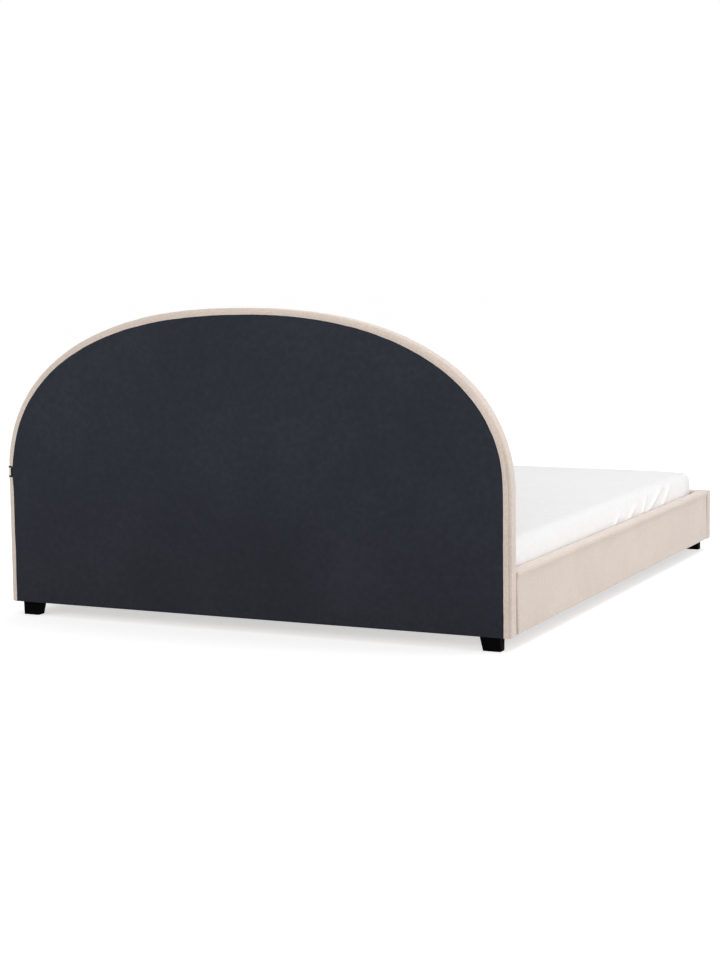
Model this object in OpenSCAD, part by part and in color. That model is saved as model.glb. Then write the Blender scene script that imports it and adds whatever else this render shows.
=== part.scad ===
// Double bed with an arched, upholstered headboard, low upholstered rails and a sprung slat base.
// X runs across the bed, +Y points to the headboard, Z is up, and the origin is on the floor
// under the middle of the bed. Depths named v are counted from the back of the headboard forwards.

/* [Mattress] */
// Width of the mattress
mattress_w = 1600; // [1400:10:1800]
// Length of the mattress
mattress_l = 2000; // [1900:10:2100]
// Thickness of the mattress at its middle
mattress_h = 176; // [140:1:240]
// Radius of the mattress corners seen from above
mattress_corner = 50; // [30:1:90]
// Rounding of the mattress top edge
mattress_edge = 24; // [14:1:40]
// Rounding of the mattress bottom edge
mattress_low_edge = 12; // [8:1:20]
// How much higher the mattress is in the middle than at its edge
mattress_crown = 9; // [2:0.5:10]
// How far the zip draws the mattress sides in
mattress_draw = 3; // [1:0.5:6]
// Thickness of the quilted mattress cover
mattress_skin = 4; // [2:0.5:7]
// Height of the zip above the mattress underside
zip_rise = 62; // [45:1:80]
// Width of the zip
zip_w = 8; // [6:1:14]

/* [Room round the mattress] */
// Gap between the mattress and each side rail
side_gap = 14; // [6:1:30]
// Gap between the mattress and the fullest part of the headboard
head_gap = 2; // [1:0.5:20]
// Gap between the mattress and the foot rail
foot_gap = 18; // [6:1:40]

/* [Headboard] */
// Overall height of the headboard above the floor
head_h = 987; // [900:1:1300]
// Thickness of the headboard at its edge
head_t = 66; // [62:1:90]
// Height above the floor where the arch starts
arch_spring = 441; // [380:1:520]
// Squareness of the arch, where 2 is an ellipse
arch_power = 2.3; // [2:0.05:2.8]
// How far the padded roll stands out from the timber edge
roll_proud = 21; // [16:1:26]
// Radius of the padded roll round the edge
roll_r = 25; // [22:1:26]
// How far the front padding swells in the middle
pad_crown = 8; // [3:0.5:12]
// Thickness of the upholstery fabric with its lining
fabric_t = 1.5; // [1:0.1:2.5]
// Radius of the soft edge towards the back
back_round = 14; // [8:0.5:14]
// Width of the fabric hem turned in round the back
hem_w = 10; // [8:0.5:12]
// Thickness of that hem
hem_t = 3; // [2:0.5:4]
// Thickness of the dust cloth over the back
cloth_t = 1; // [0.5:0.1:1.5]
// Thickness of the hardboard front
front_board_t = 4; // [3:0.5:6]
// Depth of the headboard timbers
timber_d = 48; // [44:0.5:49]
// Width of the headboard posts
post_w = 80; // [70:1:110]
// Width of the ribs that make the arch
rib_w = 60; // [40:1:76]
// Number of ribs in the arch
rib_count = 5; // [4, 5, 8, 10]
// Height of the headboard bottom rail
bottom_rail_h = 80; // [70:1:110]
// Height of the headboard middle rail
middle_rail_h = 60; // [40:1:90]
// Width of the headboard centre post
centre_post_w = 60; // [40:1:90]

/* [Rails] */
// Height of the side and foot rails
rail_h = 183; // [150:1:230]
// Thickness of the side and foot rails
rail_t = 47; // [45:1:70]
// Rounding of the top edges of the rails
rail_round = 12; // [8:0.5:16]
// Rounding of the bottom edges of the rails
rail_low_round = 4; // [3:0.5:6]
// Rounding of the upright corners at the foot end
foot_corner_round = 14; // [6:0.5:16]
// Thickness of the fabric on the rails
rail_skin = 1.2; // [0.8:0.1:2]
// Thickness of the boards in the rails
board_t = 28; // [25:0.5:32]
// Foam between a rail board and the inner face and underside
board_inset = 5; // [4:0.5:7]
// Foam over the top of a rail board
board_cover = 11; // [8:0.5:20]

/* [Feet] */
// Height of the corner feet
foot_h = 44; // [40:1:90]
// Width of a corner foot where it meets the bed
foot_w = 64; // [60:1:90]
// Width of a corner foot on the floor
foot_low_w = 54; // [40:1:60]
// Depth of a corner foot where it meets the bed
foot_d = 36; // [36:1:46]
// Depth of a corner foot on the floor
foot_low_d = 32; // [24:1:36]
// Distance of the corner feet from the sides of the bed
foot_side_inset = 38; // [20:1:60]
// Distance of the rear feet from the back of the headboard
rear_foot_inset = 15; // [12:1:25]
// Distance of the front feet from the foot end
front_foot_inset = 4; // [1:0.5:7]

/* [Slat base] */
// Height of the ledges above the bottom of the rails
ledge_rise = 64; // [58:1:90]
// Width and height of the ledges
ledge_w = 25; // [20:1:32]
// Number of slats on each side
slat_count = 13; // [8:1:15]
// Width of a slat
slat_w = 63; // [50:1:80]
// Thickness of a slat
slat_t = 8; // [6:0.5:10]
// How far a slat bows upwards
slat_rise = 10; // [5:0.5:16]
// Length of a slat cap
cap_l = 42; // [35:1:55]
// Wall of a slat cap
cap_wall = 4; // [3:0.5:6]
// Distance from the end of the base to the middle of the first slat
slat_margin = 100; // [95:1:140]
// Width of the centre beam
beam_w = 50; // [40:1:60]
// Height of the centre beam
beam_h = 30; // [25:1:36]
// Wall of the centre beam and the centre legs
tube_wall = 1.5; // [1.2:0.1:2.5]
// Diameter of the centre legs
leg_d = 38; // [30:1:42]
// Diameter of a levelling foot
leveller_d = 32; // [26:1:45]
// How far a levelling foot screws in from where it stands
leveller_travel = 9; // [4:0.5:11]

/* [Fittings] */
// Thickness of the steel brackets and plates
steel_t = 3; // [2:0.5:4]
// Length of each leg of a corner bracket
bracket_leg = 48; // [40:1:60]
// Height of a corner bracket
bracket_h = 68; // [60:1:72]
// Diameter of the frame bolts
bolt_d = 8; // [6:0.5:8]
// Length of the inserts that the frame bolts screw into
insert_l = 20; // [12:1:22]
// Diameter of the wood screws
screw_d = 5; // [4:0.5:5.5]

/* [Hidden] */
$fn = 48;

// Clearances
fit = 0.3;          // between parts that are set beside each other
bore_fit = 0.1;     // on the diameter of a running bore or a drilled hole
hole_fit = 1;       // on the diameter of a bolt's clearance hole
cut = 1;            // how far a cutting shape runs past the face it cuts
foam_play = 0.1;    // between foam and the cover drawn over it
drill_end = 2;      // how far a blind hole runs past the end of its insert

// Colours as the bed shows them
fabric_colour = [0.86, 0.80, 0.75];
back_colour = [0.17, 0.19, 0.22];
timber_colour = [0.80, 0.66, 0.46];
board_colour = [0.72, 0.58, 0.42];
foam_colour = [0.93, 0.90, 0.80];
steel_colour = [0.62, 0.63, 0.65];
dark_steel_colour = [0.13, 0.13, 0.14];
black_colour = [0.05, 0.05, 0.05];
white_colour = [0.95, 0.95, 0.95];

// Main planes
bed_w = mattress_w + 2 * side_gap + 2 * rail_t;
bed_l = head_t + pad_crown + head_gap + mattress_l + foot_gap + rail_t;
side_x = bed_w / 2;
well_x = side_x - rail_t;
back_y = bed_l / 2;
head_y = back_y - head_t;
foot_y = rail_t - bed_l / 2;
rail_z = foot_h;
rail_top = rail_z + rail_h;
ledge_top = rail_z + ledge_rise;

// Headboard depths, from its back plane
staple_t = 0.6;
cloth_v = staple_t;
timber_v = cloth_v + cloth_t;
board_v = timber_v + timber_d;
foam_v = board_v + front_board_t;
roll_v = head_t - roll_r;
edge_x = side_x - roll_proud;
arch_rise = head_h - roll_proud - arch_spring;
roll_o = roll_proud - roll_r;
rim_o = 1;
rim_v = cloth_v + hem_t + fit;
rim_fall = 0.6;
foam_lip = 2.5;
timber_z = rail_z + fabric_t + foam_lip;
arch_steps = 40;
back_steps = 3;
roll_steps = 4;
hem_steps = 8;
flat_top = rail_top + 6;
// Rings of the front padding: distance in from the roll, share of the swell, and share of the
// way from the flat lower part up to the start of the arch
pad_rings = [[6, 0, 0], [40, 0.5, 0.25], [100, 0.85, 0.55], [180, 1, 0.9]];

// Corner fittings
screw_head_d = 2 * screw_d;
screw_head_t = 0.65 * screw_d;
foot_screw_l = 45;
foot_screw_web = 14;
foot_screw_spread = 32;
foot_recess_d = screw_head_d + 1;
bracket_rise = 10;
bracket_z = rail_z + bracket_rise;
bolt_edge = 18;
bolt_reach = 27;
bolt_head_d = 1.75 * bolt_d;
bolt_head_t = 0.55 * bolt_d;
socket_d = 0.7 * bolt_d;
washer_d = 2.2 * bolt_d;
washer_t = 1.6;
insert_wall = 2;
insert_d = bolt_d + 2 * insert_wall;
board_in_x = well_x + board_inset;
board_in_y = foot_y - board_inset;
head_bolt_l = washer_t + steel_t + head_t - board_v + insert_l;
rail_bolt_l = washer_t + steel_t + board_inset + insert_l;
bolt_zs = [bracket_z + bolt_edge, bracket_z + bracket_h - bolt_edge];

// Slat base
ledge_gap = 4;
ledge_head_y = head_y - bracket_leg - ledge_gap;
ledge_foot_y = foot_y + bracket_leg + ledge_gap;
ledge_screw_count = 7;
ledge_screw_l = 42;
ledge_screw_in = 30;
ledge_screw_z = ledge_top - 0.7 * ledge_w;
slat_pitch = (head_y - foot_y - 2 * slat_margin) / (slat_count - 1);
slat_ys = [for (i = [0:slat_count - 1]) foot_y + slat_margin + i * slat_pitch];
cap_floor = 5;
cap_back = 6;
web_w = 16;
slat_in = web_w / 2 + fit;
slat_out = well_x - fit - cap_back - fit;
slat_mid = (slat_in + slat_out) / 2;
slat_half = (slat_out - slat_in) / 2;
slat_z = ledge_top + cap_floor + fit;
slat_steps = 12;
cap_h = cap_floor + slat_t + 2 * fit + cap_wall;
centre_cap_w = 2 * (web_w / 2 + cap_l - cap_back);
peg_d = 8;
peg_l = 9;
peg_x = 14;
beam_z = ledge_top - beam_h;
hanger_ear = 20;
hanger_half = beam_w / 2 + hanger_ear;
hanger_shelf = 45;
hanger_screw_x = beam_w / 2 + hanger_ear / 2;
hanger_screw_zs = [beam_z - 0.4 * beam_h, beam_z + 0.6 * beam_h];
timber_bite = 40;
board_bite = 20;
head_screw_l = steel_t + head_t - board_v + timber_bite;
foot_screw_hanger_l = steel_t + board_inset + board_bite;
beam_end_gap = 1;
beam_screw_y = 30;
beam_screw_d = 5;
beam_screw_tip = 10;
beam_screw_head_t = 3;
leg_ys = [head_y - (head_y - foot_y) / 3, foot_y + (head_y - foot_y) / 3];
leg_plate_l = 90;
leg_screw_y = 34;
plug_flange = 3;
plug_l = 20;
nut_h = 6.5;
nut_d = 15;
rod_d = 8;
leveller_base_h = 6;
nut_z = leveller_base_h + leveller_travel + fit;
plug_z = nut_z + nut_h;
leg_z = plug_z + plug_flange;
rod_spare = 10;
rod_top = plug_z + plug_flange + plug_l + rod_spare;

// Mattress
mattress_z = slat_z + slat_rise + slat_t + fit;
mattress_mid_y = head_y - pad_crown - head_gap - mattress_l / 2;
crown_edge_in = 130;
crown_flat_in = 400;
crown_edge_drop = 0.3;
draw_up = 30;
draw_down = 25;
least_corner = 8;
edge_steps = 6;
corner_steps = 6;

// Staples and label
staple_w = 10;
staple_wire = 1.2;
staple_leg = 7;
staple_in = 12;
staple_every = 2;
label_h = 36;
label_z = arch_spring + 5;
label_t = 0.8;
label_in = 1;
label_turn = 65; // degrees that the label follows the soft edge
label_steps = 5;

// A point of the arch at the angle t, moved out by the distance o
function arch_point(t, o) =
  let (
    c = cos(t),
    s = sin(t),
    x = edge_x * sign(c) * pow(abs(c), 2 / arch_power),
    z = arch_spring + arch_rise * pow(s, 2 / arch_power),
    nx = sign(c) * pow(abs(c), 2 - 2 / arch_power) / edge_x,
    nz = pow(s, 2 - 2 / arch_power) / arch_rise
  )
  [x, z] + o * [nx, nz] / norm([nx, nz]);

// The headboard's outline from the lower right corner over the arch to the lower left corner
function arch_outline(o, low) = [
  [edge_x + o, low],
  for (i = [0:arch_steps]) arch_point(180 * i / arch_steps, o),
  [-edge_x - o, low]
];

// The same outline as a ring at the depth v
function head_ring(o, v, low) = [for (p = arch_outline(o, low)) [p.x, back_y - v, p.y]];

// Rings of the upholstery from the back rim over the soft edge to the middle of the front,
// at the depth t inside the fabric
function upholstery_rings(t) =
  let (
    low = rail_z + t,
    section = concat(
      [[rim_o, rim_v + rim_fall + t]],
      quarter([roll_proud - back_round, rim_v + back_round], back_round - t, 270, back_steps),
      quarter([roll_o, roll_v], roll_r - t, 0, roll_steps)
    )
  )
  concat(
    [for (p = section) head_ring(p.x, p.y, low)],
    [for (p = pad_rings)
      head_ring(roll_o - p[0], head_t - t + p[1] * pad_crown, flat_top + p[2] * (arch_spring - flat_top))]
  );

// A quarter circle of points round a centre
function quarter(centre, r, start, steps) =
  [for (i = [0:steps]) centre + r * [cos(start + 90 * i / steps), sin(start + 90 * i / steps)]];

// A rectangle from the origin with its lower corners rounded by low_r and its upper ones by top_r,
// all of it moved in by the distance inset
function soft_rectangle(w, h, low_r, top_r, inset, steps) = concat(
  quarter([low_r, low_r], low_r - inset, 180, steps),
  quarter([w - low_r, low_r], low_r - inset, 270, steps),
  quarter([w - top_r, h - top_r], top_r - inset, 0, steps),
  quarter([top_r, h - top_r], top_r - inset, 90, steps)
);

// A ring of the mattress at the height z, moved in from its sides by the distance inset
function mattress_ring(inset, z) =
  let (r = max(mattress_corner - inset, least_corner), w = mattress_w - 2 * inset, l = mattress_l - 2 * inset)
  [for (p = soft_rectangle(w, l, r, r, 0, corner_steps))
    [p.x - w / 2, p.y - l / 2 + mattress_mid_y, mattress_z + z]];

// Rings of the mattress above the zip, at the depth t inside the cover
function mattress_top_rings(t) =
  let (edge_z = mattress_h - mattress_crown - mattress_edge)
  concat(
    [mattress_ring(mattress_draw + t, zip_rise + zip_w / 2), mattress_ring(t, zip_rise + draw_up)],
    [for (i = [0:edge_steps])
      let (a = 90 * i / edge_steps, r = mattress_edge - t)
      mattress_ring(mattress_edge - r * cos(a), edge_z + r * sin(a))],
    [mattress_ring(crown_edge_in, mattress_h - t - crown_edge_drop * mattress_crown),
      mattress_ring(crown_flat_in, mattress_h - t)]
  );

// Rings of the mattress below the zip, from the zip down
function mattress_low_rings(t) = concat(
  [mattress_ring(mattress_draw + t, zip_rise - zip_w / 2), mattress_ring(t, zip_rise - draw_down)],
  [for (i = [0:edge_steps])
    let (a = 90 * i / edge_steps, r = mattress_low_edge - t)
    mattress_ring(mattress_low_edge - r * cos(a), mattress_low_edge - r * sin(a))]
);

function reversed(list) = [for (i = [len(list) - 1:-1:0]) list[i]];

// A closed solid through a list of rings, whose points run anticlockwise seen from the last ring
module loft(rings) {
  n = len(rings[0]);
  last = (len(rings) - 1) * n;
  polyhedron(
    points = [for (r = rings) each r],
    faces = concat(
      [for (i = [1:n - 2]) [0, i, i + 1]],
      [for (r = [0:len(rings) - 2], i = [0:n - 1])
        each [
          [r * n + i, (r + 1) * n + i, (r + 1) * n + (i + 1) % n],
          [r * n + i, (r + 1) * n + (i + 1) % n, r * n + (i + 1) % n]
        ]],
      [for (i = [1:n - 2]) [last, last + i + 1, last + i]]
    ),
    convexity = 8
  );
}

// A profile of [distance out, depth] points carried along the arch from floor side to floor side
module arch_sweep(profile, low) {
  outlines = [for (p = profile) head_ring(p[0], p[1], low)];
  loft([for (i = [0:len(outlines[0]) - 1]) [for (o = outlines) o[i]]]);
}

// A flat shape drawn in X and Z, between the depths v0 and v1 of the headboard
module head_plate(v0, v1) {
  translate([0, back_y - v0, 0]) rotate([90, 0, 0]) linear_extrude(v1 - v0) children();
}

// A cylinder along X, Y or Z from the point p, where a negative length runs backwards
module rod_x(p, l, d) {
  translate(p + [min(l, 0), 0, 0]) rotate([0, 90, 0]) cylinder(d = d, h = abs(l));
}
module rod_y(p, l, d) {
  translate(p + [0, max(l, 0), 0]) rotate([90, 0, 0]) cylinder(d = d, h = abs(l));
}
module rod_z(p, l, d) {
  translate(p + [0, 0, min(l, 0)]) cylinder(d = d, h = abs(l));
}

// A bolt or screw with its shank along +Z and the underside of its head at the origin
module fastener(d, l, head_d, head_t, drive_d) {
  difference() {
    union() {
      cylinder(d = d, h = l);
      translate([0, 0, -head_t]) cylinder(d = head_d, h = head_t);
    }
    translate([0, 0, -head_t - cut]) cylinder(d = drive_d, h = 0.6 * head_t + cut, $fn = 6);
  }
}
module wood_screw(l) {
  fastener(screw_d, l, screw_head_d, screw_head_t, 0.8 * screw_d);
}
module frame_bolt(l) {
  fastener(bolt_d, l, bolt_head_d, bolt_head_t, socket_d);
}

module both_sides() {
  children();
  mirror([1, 0, 0]) children();
}

// Holes and fasteners of the headboard, in the places that its pieces share
module head_bolt_holes(d, v0, v1) {
  for (x = [-1, 1], z = bolt_zs)
    rod_y([x * (well_x - bolt_reach), back_y - v0, z], v0 - v1, d);
}
module hanger_holes(y0, y1, d) {
  for (x = [-1, 1], z = hanger_screw_zs) rod_y([x * hanger_screw_x, y0, z], y1 - y0, d);
}
function foot_screw_xs(side) =
  [for (s = [-1, 1]) side * (side_x - foot_side_inset - foot_w / 2 + s * foot_screw_spread / 2)];
foot_screw_shift = 4; // from the middle of a foot towards the middle of the timber above it
rear_screw_y = back_y - rear_foot_inset - foot_d / 2 + foot_screw_shift;
front_screw_y = -back_y + front_foot_inset + foot_d / 2 + foot_screw_shift;
module foot_screw_holes(y, z0, z1, d) {
  for (side = [-1, 1], x = foot_screw_xs(side)) rod_z([x, y, z0], z1 - z0, d);
}

// Timber frame of the headboard
module post(side) {
  color(timber_colour) difference() {
    head_plate(timber_v, board_v)
      translate([side > 0 ? edge_x - post_w : -edge_x, timber_z]) square([post_w, arch_spring - timber_z]);
    head_bolt_holes(insert_d, board_v + cut, board_v - insert_l - drill_end);
    foot_screw_holes(
      rear_screw_y, timber_z - cut, foot_h - foot_screw_web + foot_screw_l, screw_d + bore_fit
    );
  }
}
module headboard_left_post() post(-1);
module headboard_right_post() post(1);
module headboard_bottom_rail() {
  color(timber_colour) difference() {
    head_plate(timber_v, board_v)
      translate([post_w - edge_x, timber_z]) square([2 * (edge_x - post_w), bottom_rail_h]);
    hanger_holes(head_y - cut, head_y - steel_t + head_screw_l, screw_d + bore_fit);
  }
}
middle_rail_z = arch_spring - middle_rail_h;
module headboard_middle_rail() {
  color(timber_colour) head_plate(timber_v, board_v)
    translate([post_w - edge_x, middle_rail_z]) square([2 * (edge_x - post_w), middle_rail_h]);
}
centre_post_z = timber_z + bottom_rail_h;
module headboard_lower_centre_post() {
  color(timber_colour) head_plate(timber_v, board_v)
    translate([-centre_post_w / 2, centre_post_z])
      square([centre_post_w, middle_rail_z - centre_post_z]);
}
module headboard_upper_centre_post() {
  color(timber_colour) head_plate(timber_v, board_v) difference() {
    translate([-centre_post_w / 2, arch_spring]) square([centre_post_w, arch_rise]);
    rib_band();
  }
}

// The arch between its outer edge and the width of the ribs, and everything outside it
module rib_band() {
  difference() {
    translate([-side_x, arch_spring - cut]) square([2 * side_x, 2 * arch_rise]);
    polygon([for (i = [0:arch_steps]) arch_point(180 * i / arch_steps, -rib_w)]);
  }
}
module headboard_arch_ribs() {
  steps = arch_steps / rib_count;
  color(timber_colour) for (k = [0:rib_count - 1])
    head_plate(timber_v, board_v)
      polygon(concat(
        [for (i = [0:steps]) arch_point(180 * (k * steps + i) / arch_steps, 0)],
        [for (i = [steps:-1:0]) arch_point(180 * (k * steps + i) / arch_steps, -rib_w)]
      ));
}
module headboard_front_board() {
  color(board_colour) difference() {
    head_plate(board_v, foam_v) polygon(arch_outline(0, timber_z));
    head_bolt_holes(bolt_d + hole_fit, foam_v + cut, board_v - cut);
    hanger_holes(head_y - cut, back_y, screw_d + hole_fit);
  }
}

// Padding and cloth of the headboard
module headboard_foam() {
  color(foam_colour) difference() {
    loft(concat(
      [head_ring(fit, foam_v, timber_z), head_ring(fit, rim_v + fabric_t + foam_lip, timber_z)],
      upholstery_rings(fabric_t + foam_play)
    ));
    upholstery_holes();
  }
}
module headboard_cover() {
  color(fabric_colour) difference() {
    loft(concat(reversed(upholstery_rings(fabric_t)), upholstery_rings(0)));
    upholstery_holes();
  }
}
module upholstery_holes() {
  head_bolt_holes(bolt_d + hole_fit, head_t + cut, board_v);
  hanger_holes(head_y - cut, back_y - board_v, screw_d + hole_fit);
  foot_screw_holes(rear_screw_y, rail_z - cut, timber_z + cut, screw_d + hole_fit);
}
module headboard_rear_hem() {
  r = hem_t / 2;
  color(fabric_colour) arch_sweep(
    concat(
      [[fit, cloth_v + hem_t], [fit, cloth_v]],
      [for (i = [0:hem_steps])
        let (a = 180 * i / hem_steps)
        [hem_w - r + r * sin(a), cloth_v + r - r * cos(a)]]
    ),
    rail_z
  );
}
module headboard_back_cloth() {
  color(back_colour) difference() {
    head_plate(cloth_v, timber_v) polygon(arch_outline(0, rail_z));
    for (s = staple_places) staple_at(s);
  }
}

// Staples are [x, z, angle] along the arch and the posts
staple_places = concat(
  [for (i = [1:staple_every:arch_steps - 1])
    let (t = 180 * i / arch_steps, p = arch_point(t, -staple_in), q = arch_point(t + 1, -staple_in))
    [p.x, p.y, atan2(q.y - p.y, q.x - p.x)]],
  [for (s = [-1, 1], z = [timber_z + bottom_rail_h / 2:bottom_rail_h:arch_spring - staple_w])
    [s * (edge_x - staple_in), z, 90]],
  [for (x = [-7:7]) [x * (edge_x - post_w - bottom_rail_h / 2) / 7, timber_z + staple_in, 0]]
);
module staple_at(place) {
  translate([place[0], back_y, place[1]]) rotate([0, -place[2], 0]) staple();
}
module staple() {
  difference() {
    translate([-staple_w / 2, -cloth_v - cloth_t - staple_leg, -staple_wire / 2])
      cube([staple_w, cloth_v + cloth_t + staple_leg, staple_wire]);
    translate([staple_wire - staple_w / 2, -cloth_v - cloth_t - staple_leg - cut, -staple_wire])
      cube([staple_w - 2 * staple_wire, cloth_t + staple_leg + cut, 2 * staple_wire]);
  }
}
module back_cloth_staples() {
  color(steel_colour) for (s = staple_places) staple_at(s);
}

// Plain folded label from the hem round the soft edge at one side, with nothing on it
function label_arc(out) =
  let (
    centre = [roll_proud - back_round, rim_v + back_round],
    r = back_round + out,
    from = max(asin((hem_w + out - centre.x) / r), 0)
  )
  [for (i = [0:label_steps])
    let (a = from + (label_turn - from) * i / label_steps)
    centre + r * [sin(a), -cos(a)]];
module blank_label() {
  section = concat(
    [[label_in, cloth_v], [label_in, 0], [hem_w + fit + label_t, 0]],
    label_arc(fit + label_t),
    reversed(label_arc(fit)),
    [[hem_w + fit, cloth_v]]
  );
  color(black_colour) translate([edge_x, back_y, label_z])
    linear_extrude(label_h) polygon([for (p = section) [p.x, -p.y]]);
}

// Corner feet, with their outer faces upright and the others tapered
module corner_foot(side, y0, screw_y) {
  x = side_x - foot_side_inset;
  taper = (foot_d - foot_low_d) / 2;
  color(black_colour) difference() {
    scale([side, 1, 1]) intersection() {
      translate([0, y0 + foot_d, 0]) rotate([90, 0, 0]) linear_extrude(foot_d)
        polygon([[x, 0], [x, foot_h], [x - foot_w, foot_h], [x - foot_low_w, 0]]);
      translate([x - foot_w, y0, 0]) rotate([90, 0, 90]) linear_extrude(foot_w)
        polygon([[taper, 0], [foot_d - taper, 0], [foot_d, foot_h], [0, foot_h]]);
    }
    foot_screw_holes(screw_y, -cut, foot_h + cut, screw_d + hole_fit);
    foot_screw_holes(screw_y, -cut, foot_h - foot_screw_web, foot_recess_d);
  }
}
module rear_left_foot() corner_foot(-1, back_y - rear_foot_inset - foot_d, rear_screw_y);
module rear_right_foot() corner_foot(1, back_y - rear_foot_inset - foot_d, rear_screw_y);
module front_left_foot() corner_foot(-1, -back_y + front_foot_inset, front_screw_y);
module front_right_foot() corner_foot(1, -back_y + front_foot_inset, front_screw_y);
module foot_screws() {
  color(steel_colour) for (side = [-1, 1], x = foot_screw_xs(side), y = [rear_screw_y, front_screw_y])
    translate([x, y, foot_h - foot_screw_web]) wood_screw(foot_screw_l);
}

// Side rails: a section in X and Z, at the right of the bed, from the foot rail to the headboard
module rail_section(inset) {
  polygon(soft_rectangle(rail_t, rail_h, rail_low_round, rail_round, inset, 6));
}
module rail_board_section() {
  translate([board_inset, board_inset]) square([board_t, rail_h - board_inset - board_cover]);
}
module rail_length(extra = 0) {
  translate([well_x, head_y - fit + extra, rail_z]) rotate([90, 0, 0])
    linear_extrude(head_y - foot_y - 2 * fit + 2 * extra) children();
}
ledge_screw_ys = [for (i = [0:ledge_screw_count - 1])
  ledge_foot_y + ledge_screw_in
    + i * (ledge_head_y - ledge_foot_y - 2 * ledge_screw_in) / (ledge_screw_count - 1)];
module ledge_screw_holes(x0, x1, d) {
  for (y = ledge_screw_ys) rod_x([x0, y, ledge_screw_z], x1 - x0, d);
}
module rail_bolt_holes(x0, x1, d) {
  for (y = [head_y - bolt_reach, foot_y + bolt_reach], z = bolt_zs) rod_x([x0, y, z], x1 - x0, d);
}
module rail_board() {
  color(board_colour) difference() {
    rail_length() rail_board_section();
    ledge_screw_holes(board_in_x - cut, well_x - ledge_w + ledge_screw_l, screw_d + bore_fit);
    rail_bolt_holes(board_in_x - cut, board_in_x + insert_l + drill_end, insert_d);
  }
}
module rail_foam() {
  color(foam_colour) difference() {
    rail_length() rail_section(rail_skin + foam_play);
    rail_length(cut) rail_board_section();
    ledge_screw_holes(well_x, board_in_x + cut, screw_d + hole_fit);
    rail_bolt_holes(well_x, board_in_x + cut, bolt_d + hole_fit);
  }
}
module rail_cover() {
  color(fabric_colour) difference() {
    rail_length() rail_section(0);
    rail_length(cut) rail_section(rail_skin);
    ledge_screw_holes(well_x - cut, board_in_x, screw_d + hole_fit);
    rail_bolt_holes(well_x - cut, board_in_x, bolt_d + hole_fit);
  }
}
module ledge() {
  color(timber_colour) difference() {
    translate([well_x - ledge_w, ledge_foot_y, ledge_top - ledge_w])
      cube([ledge_w, ledge_head_y - ledge_foot_y, ledge_w]);
    ledge_screw_holes(well_x - ledge_w - cut, well_x + cut, screw_d + bore_fit);
    for (y = slat_ys) rod_z([cap_peg_x, y, ledge_top + cut], -cut - peg_l - fit, peg_d + fit);
  }
}
module left_rail_board() mirror([1, 0, 0]) rail_board();
module left_rail_foam() mirror([1, 0, 0]) rail_foam();
module left_rail_cover() mirror([1, 0, 0]) rail_cover();
module right_rail_board() rail_board();
module right_rail_foam() rail_foam();
module right_rail_cover() rail_cover();
module left_ledge() mirror([1, 0, 0]) ledge();
module right_ledge() ledge();
module ledge_screws() {
  color(steel_colour) both_sides() for (y = ledge_screw_ys)
    translate([well_x - ledge_w, y, ledge_screw_z]) rotate([0, 90, 0]) wood_screw(ledge_screw_l);
}

// Foot rail: a section in Y and Z carried across the bed, with its outer upright corners rounded
module foot_form(inset) {
  intersection() {
    translate([-side_x, foot_y, rail_z]) mirror([0, 1, 0]) rotate([90, 0, 90])
      linear_extrude(bed_w) rail_section(inset);
    translate([-side_x, -back_y, rail_z]) linear_extrude(rail_h)
      polygon(soft_rectangle(bed_w, rail_t, foot_corner_round, rail_low_round, inset, 6));
  }
}
foot_board_end = foot_corner_round + foam_lip;
module foot_board_block() {
  translate([foot_board_end - side_x, board_in_y - board_t, rail_z + board_inset])
    cube([bed_w - 2 * foot_board_end, board_t, rail_h - board_inset - board_cover]);
}
module foot_bolt_holes(y0, y1, d) {
  for (x = [-1, 1], z = bolt_zs) rod_y([x * (well_x - bolt_reach), y0, z], y1 - y0, d);
}
module foot_rail_board() {
  color(board_colour) difference() {
    foot_board_block();
    foot_bolt_holes(board_in_y + cut, board_in_y - insert_l - drill_end, insert_d);
    hanger_holes(board_in_y + cut, foot_y + steel_t - foot_screw_hanger_l, screw_d + bore_fit);
    foot_screw_holes(front_screw_y, rail_z, foot_h - foot_screw_web + foot_screw_l, screw_d + bore_fit);
  }
}
module foot_rail_foam() {
  color(foam_colour) difference() {
    foot_form(rail_skin + foam_play);
    foot_board_block();
    foot_rail_skin_holes();
  }
}
module foot_rail_cover() {
  color(fabric_colour) difference() {
    foot_form(0);
    foot_form(rail_skin);
    foot_rail_skin_holes();
  }
}
module foot_rail_skin_holes() {
  foot_bolt_holes(foot_y + cut, board_in_y - cut, bolt_d + hole_fit);
  hanger_holes(foot_y + cut, board_in_y - cut, screw_d + hole_fit);
  foot_screw_holes(front_screw_y, rail_z - cut, rail_z + board_inset + cut, screw_d + hole_fit);
}

// Corner brackets of folded steel: one leg on the end board and one on the side rail
module corner_bracket(end_y, way) {
  y = end_y - way * bracket_leg;
  color(dark_steel_colour) difference() {
    translate([0, 0, bracket_z]) linear_extrude(bracket_h) union() {
      translate([well_x - bracket_leg, min(end_y, end_y - way * steel_t)]) square([bracket_leg, steel_t]);
      translate([well_x - steel_t, min(end_y, y)]) square([steel_t, bracket_leg]);
    }
    for (z = bolt_zs) {
      rod_x([well_x - steel_t - cut, end_y - way * bolt_reach, z], steel_t + 2 * cut, bolt_d + hole_fit);
      rod_y([well_x - bolt_reach, end_y + way * cut, z], -way * (steel_t + 2 * cut), bolt_d + hole_fit);
    }
  }
}
module head_left_bracket() mirror([1, 0, 0]) corner_bracket(head_y, 1);
module head_right_bracket() corner_bracket(head_y, 1);
module foot_left_bracket() mirror([1, 0, 0]) corner_bracket(foot_y, -1);
module foot_right_bracket() corner_bracket(foot_y, -1);

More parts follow.
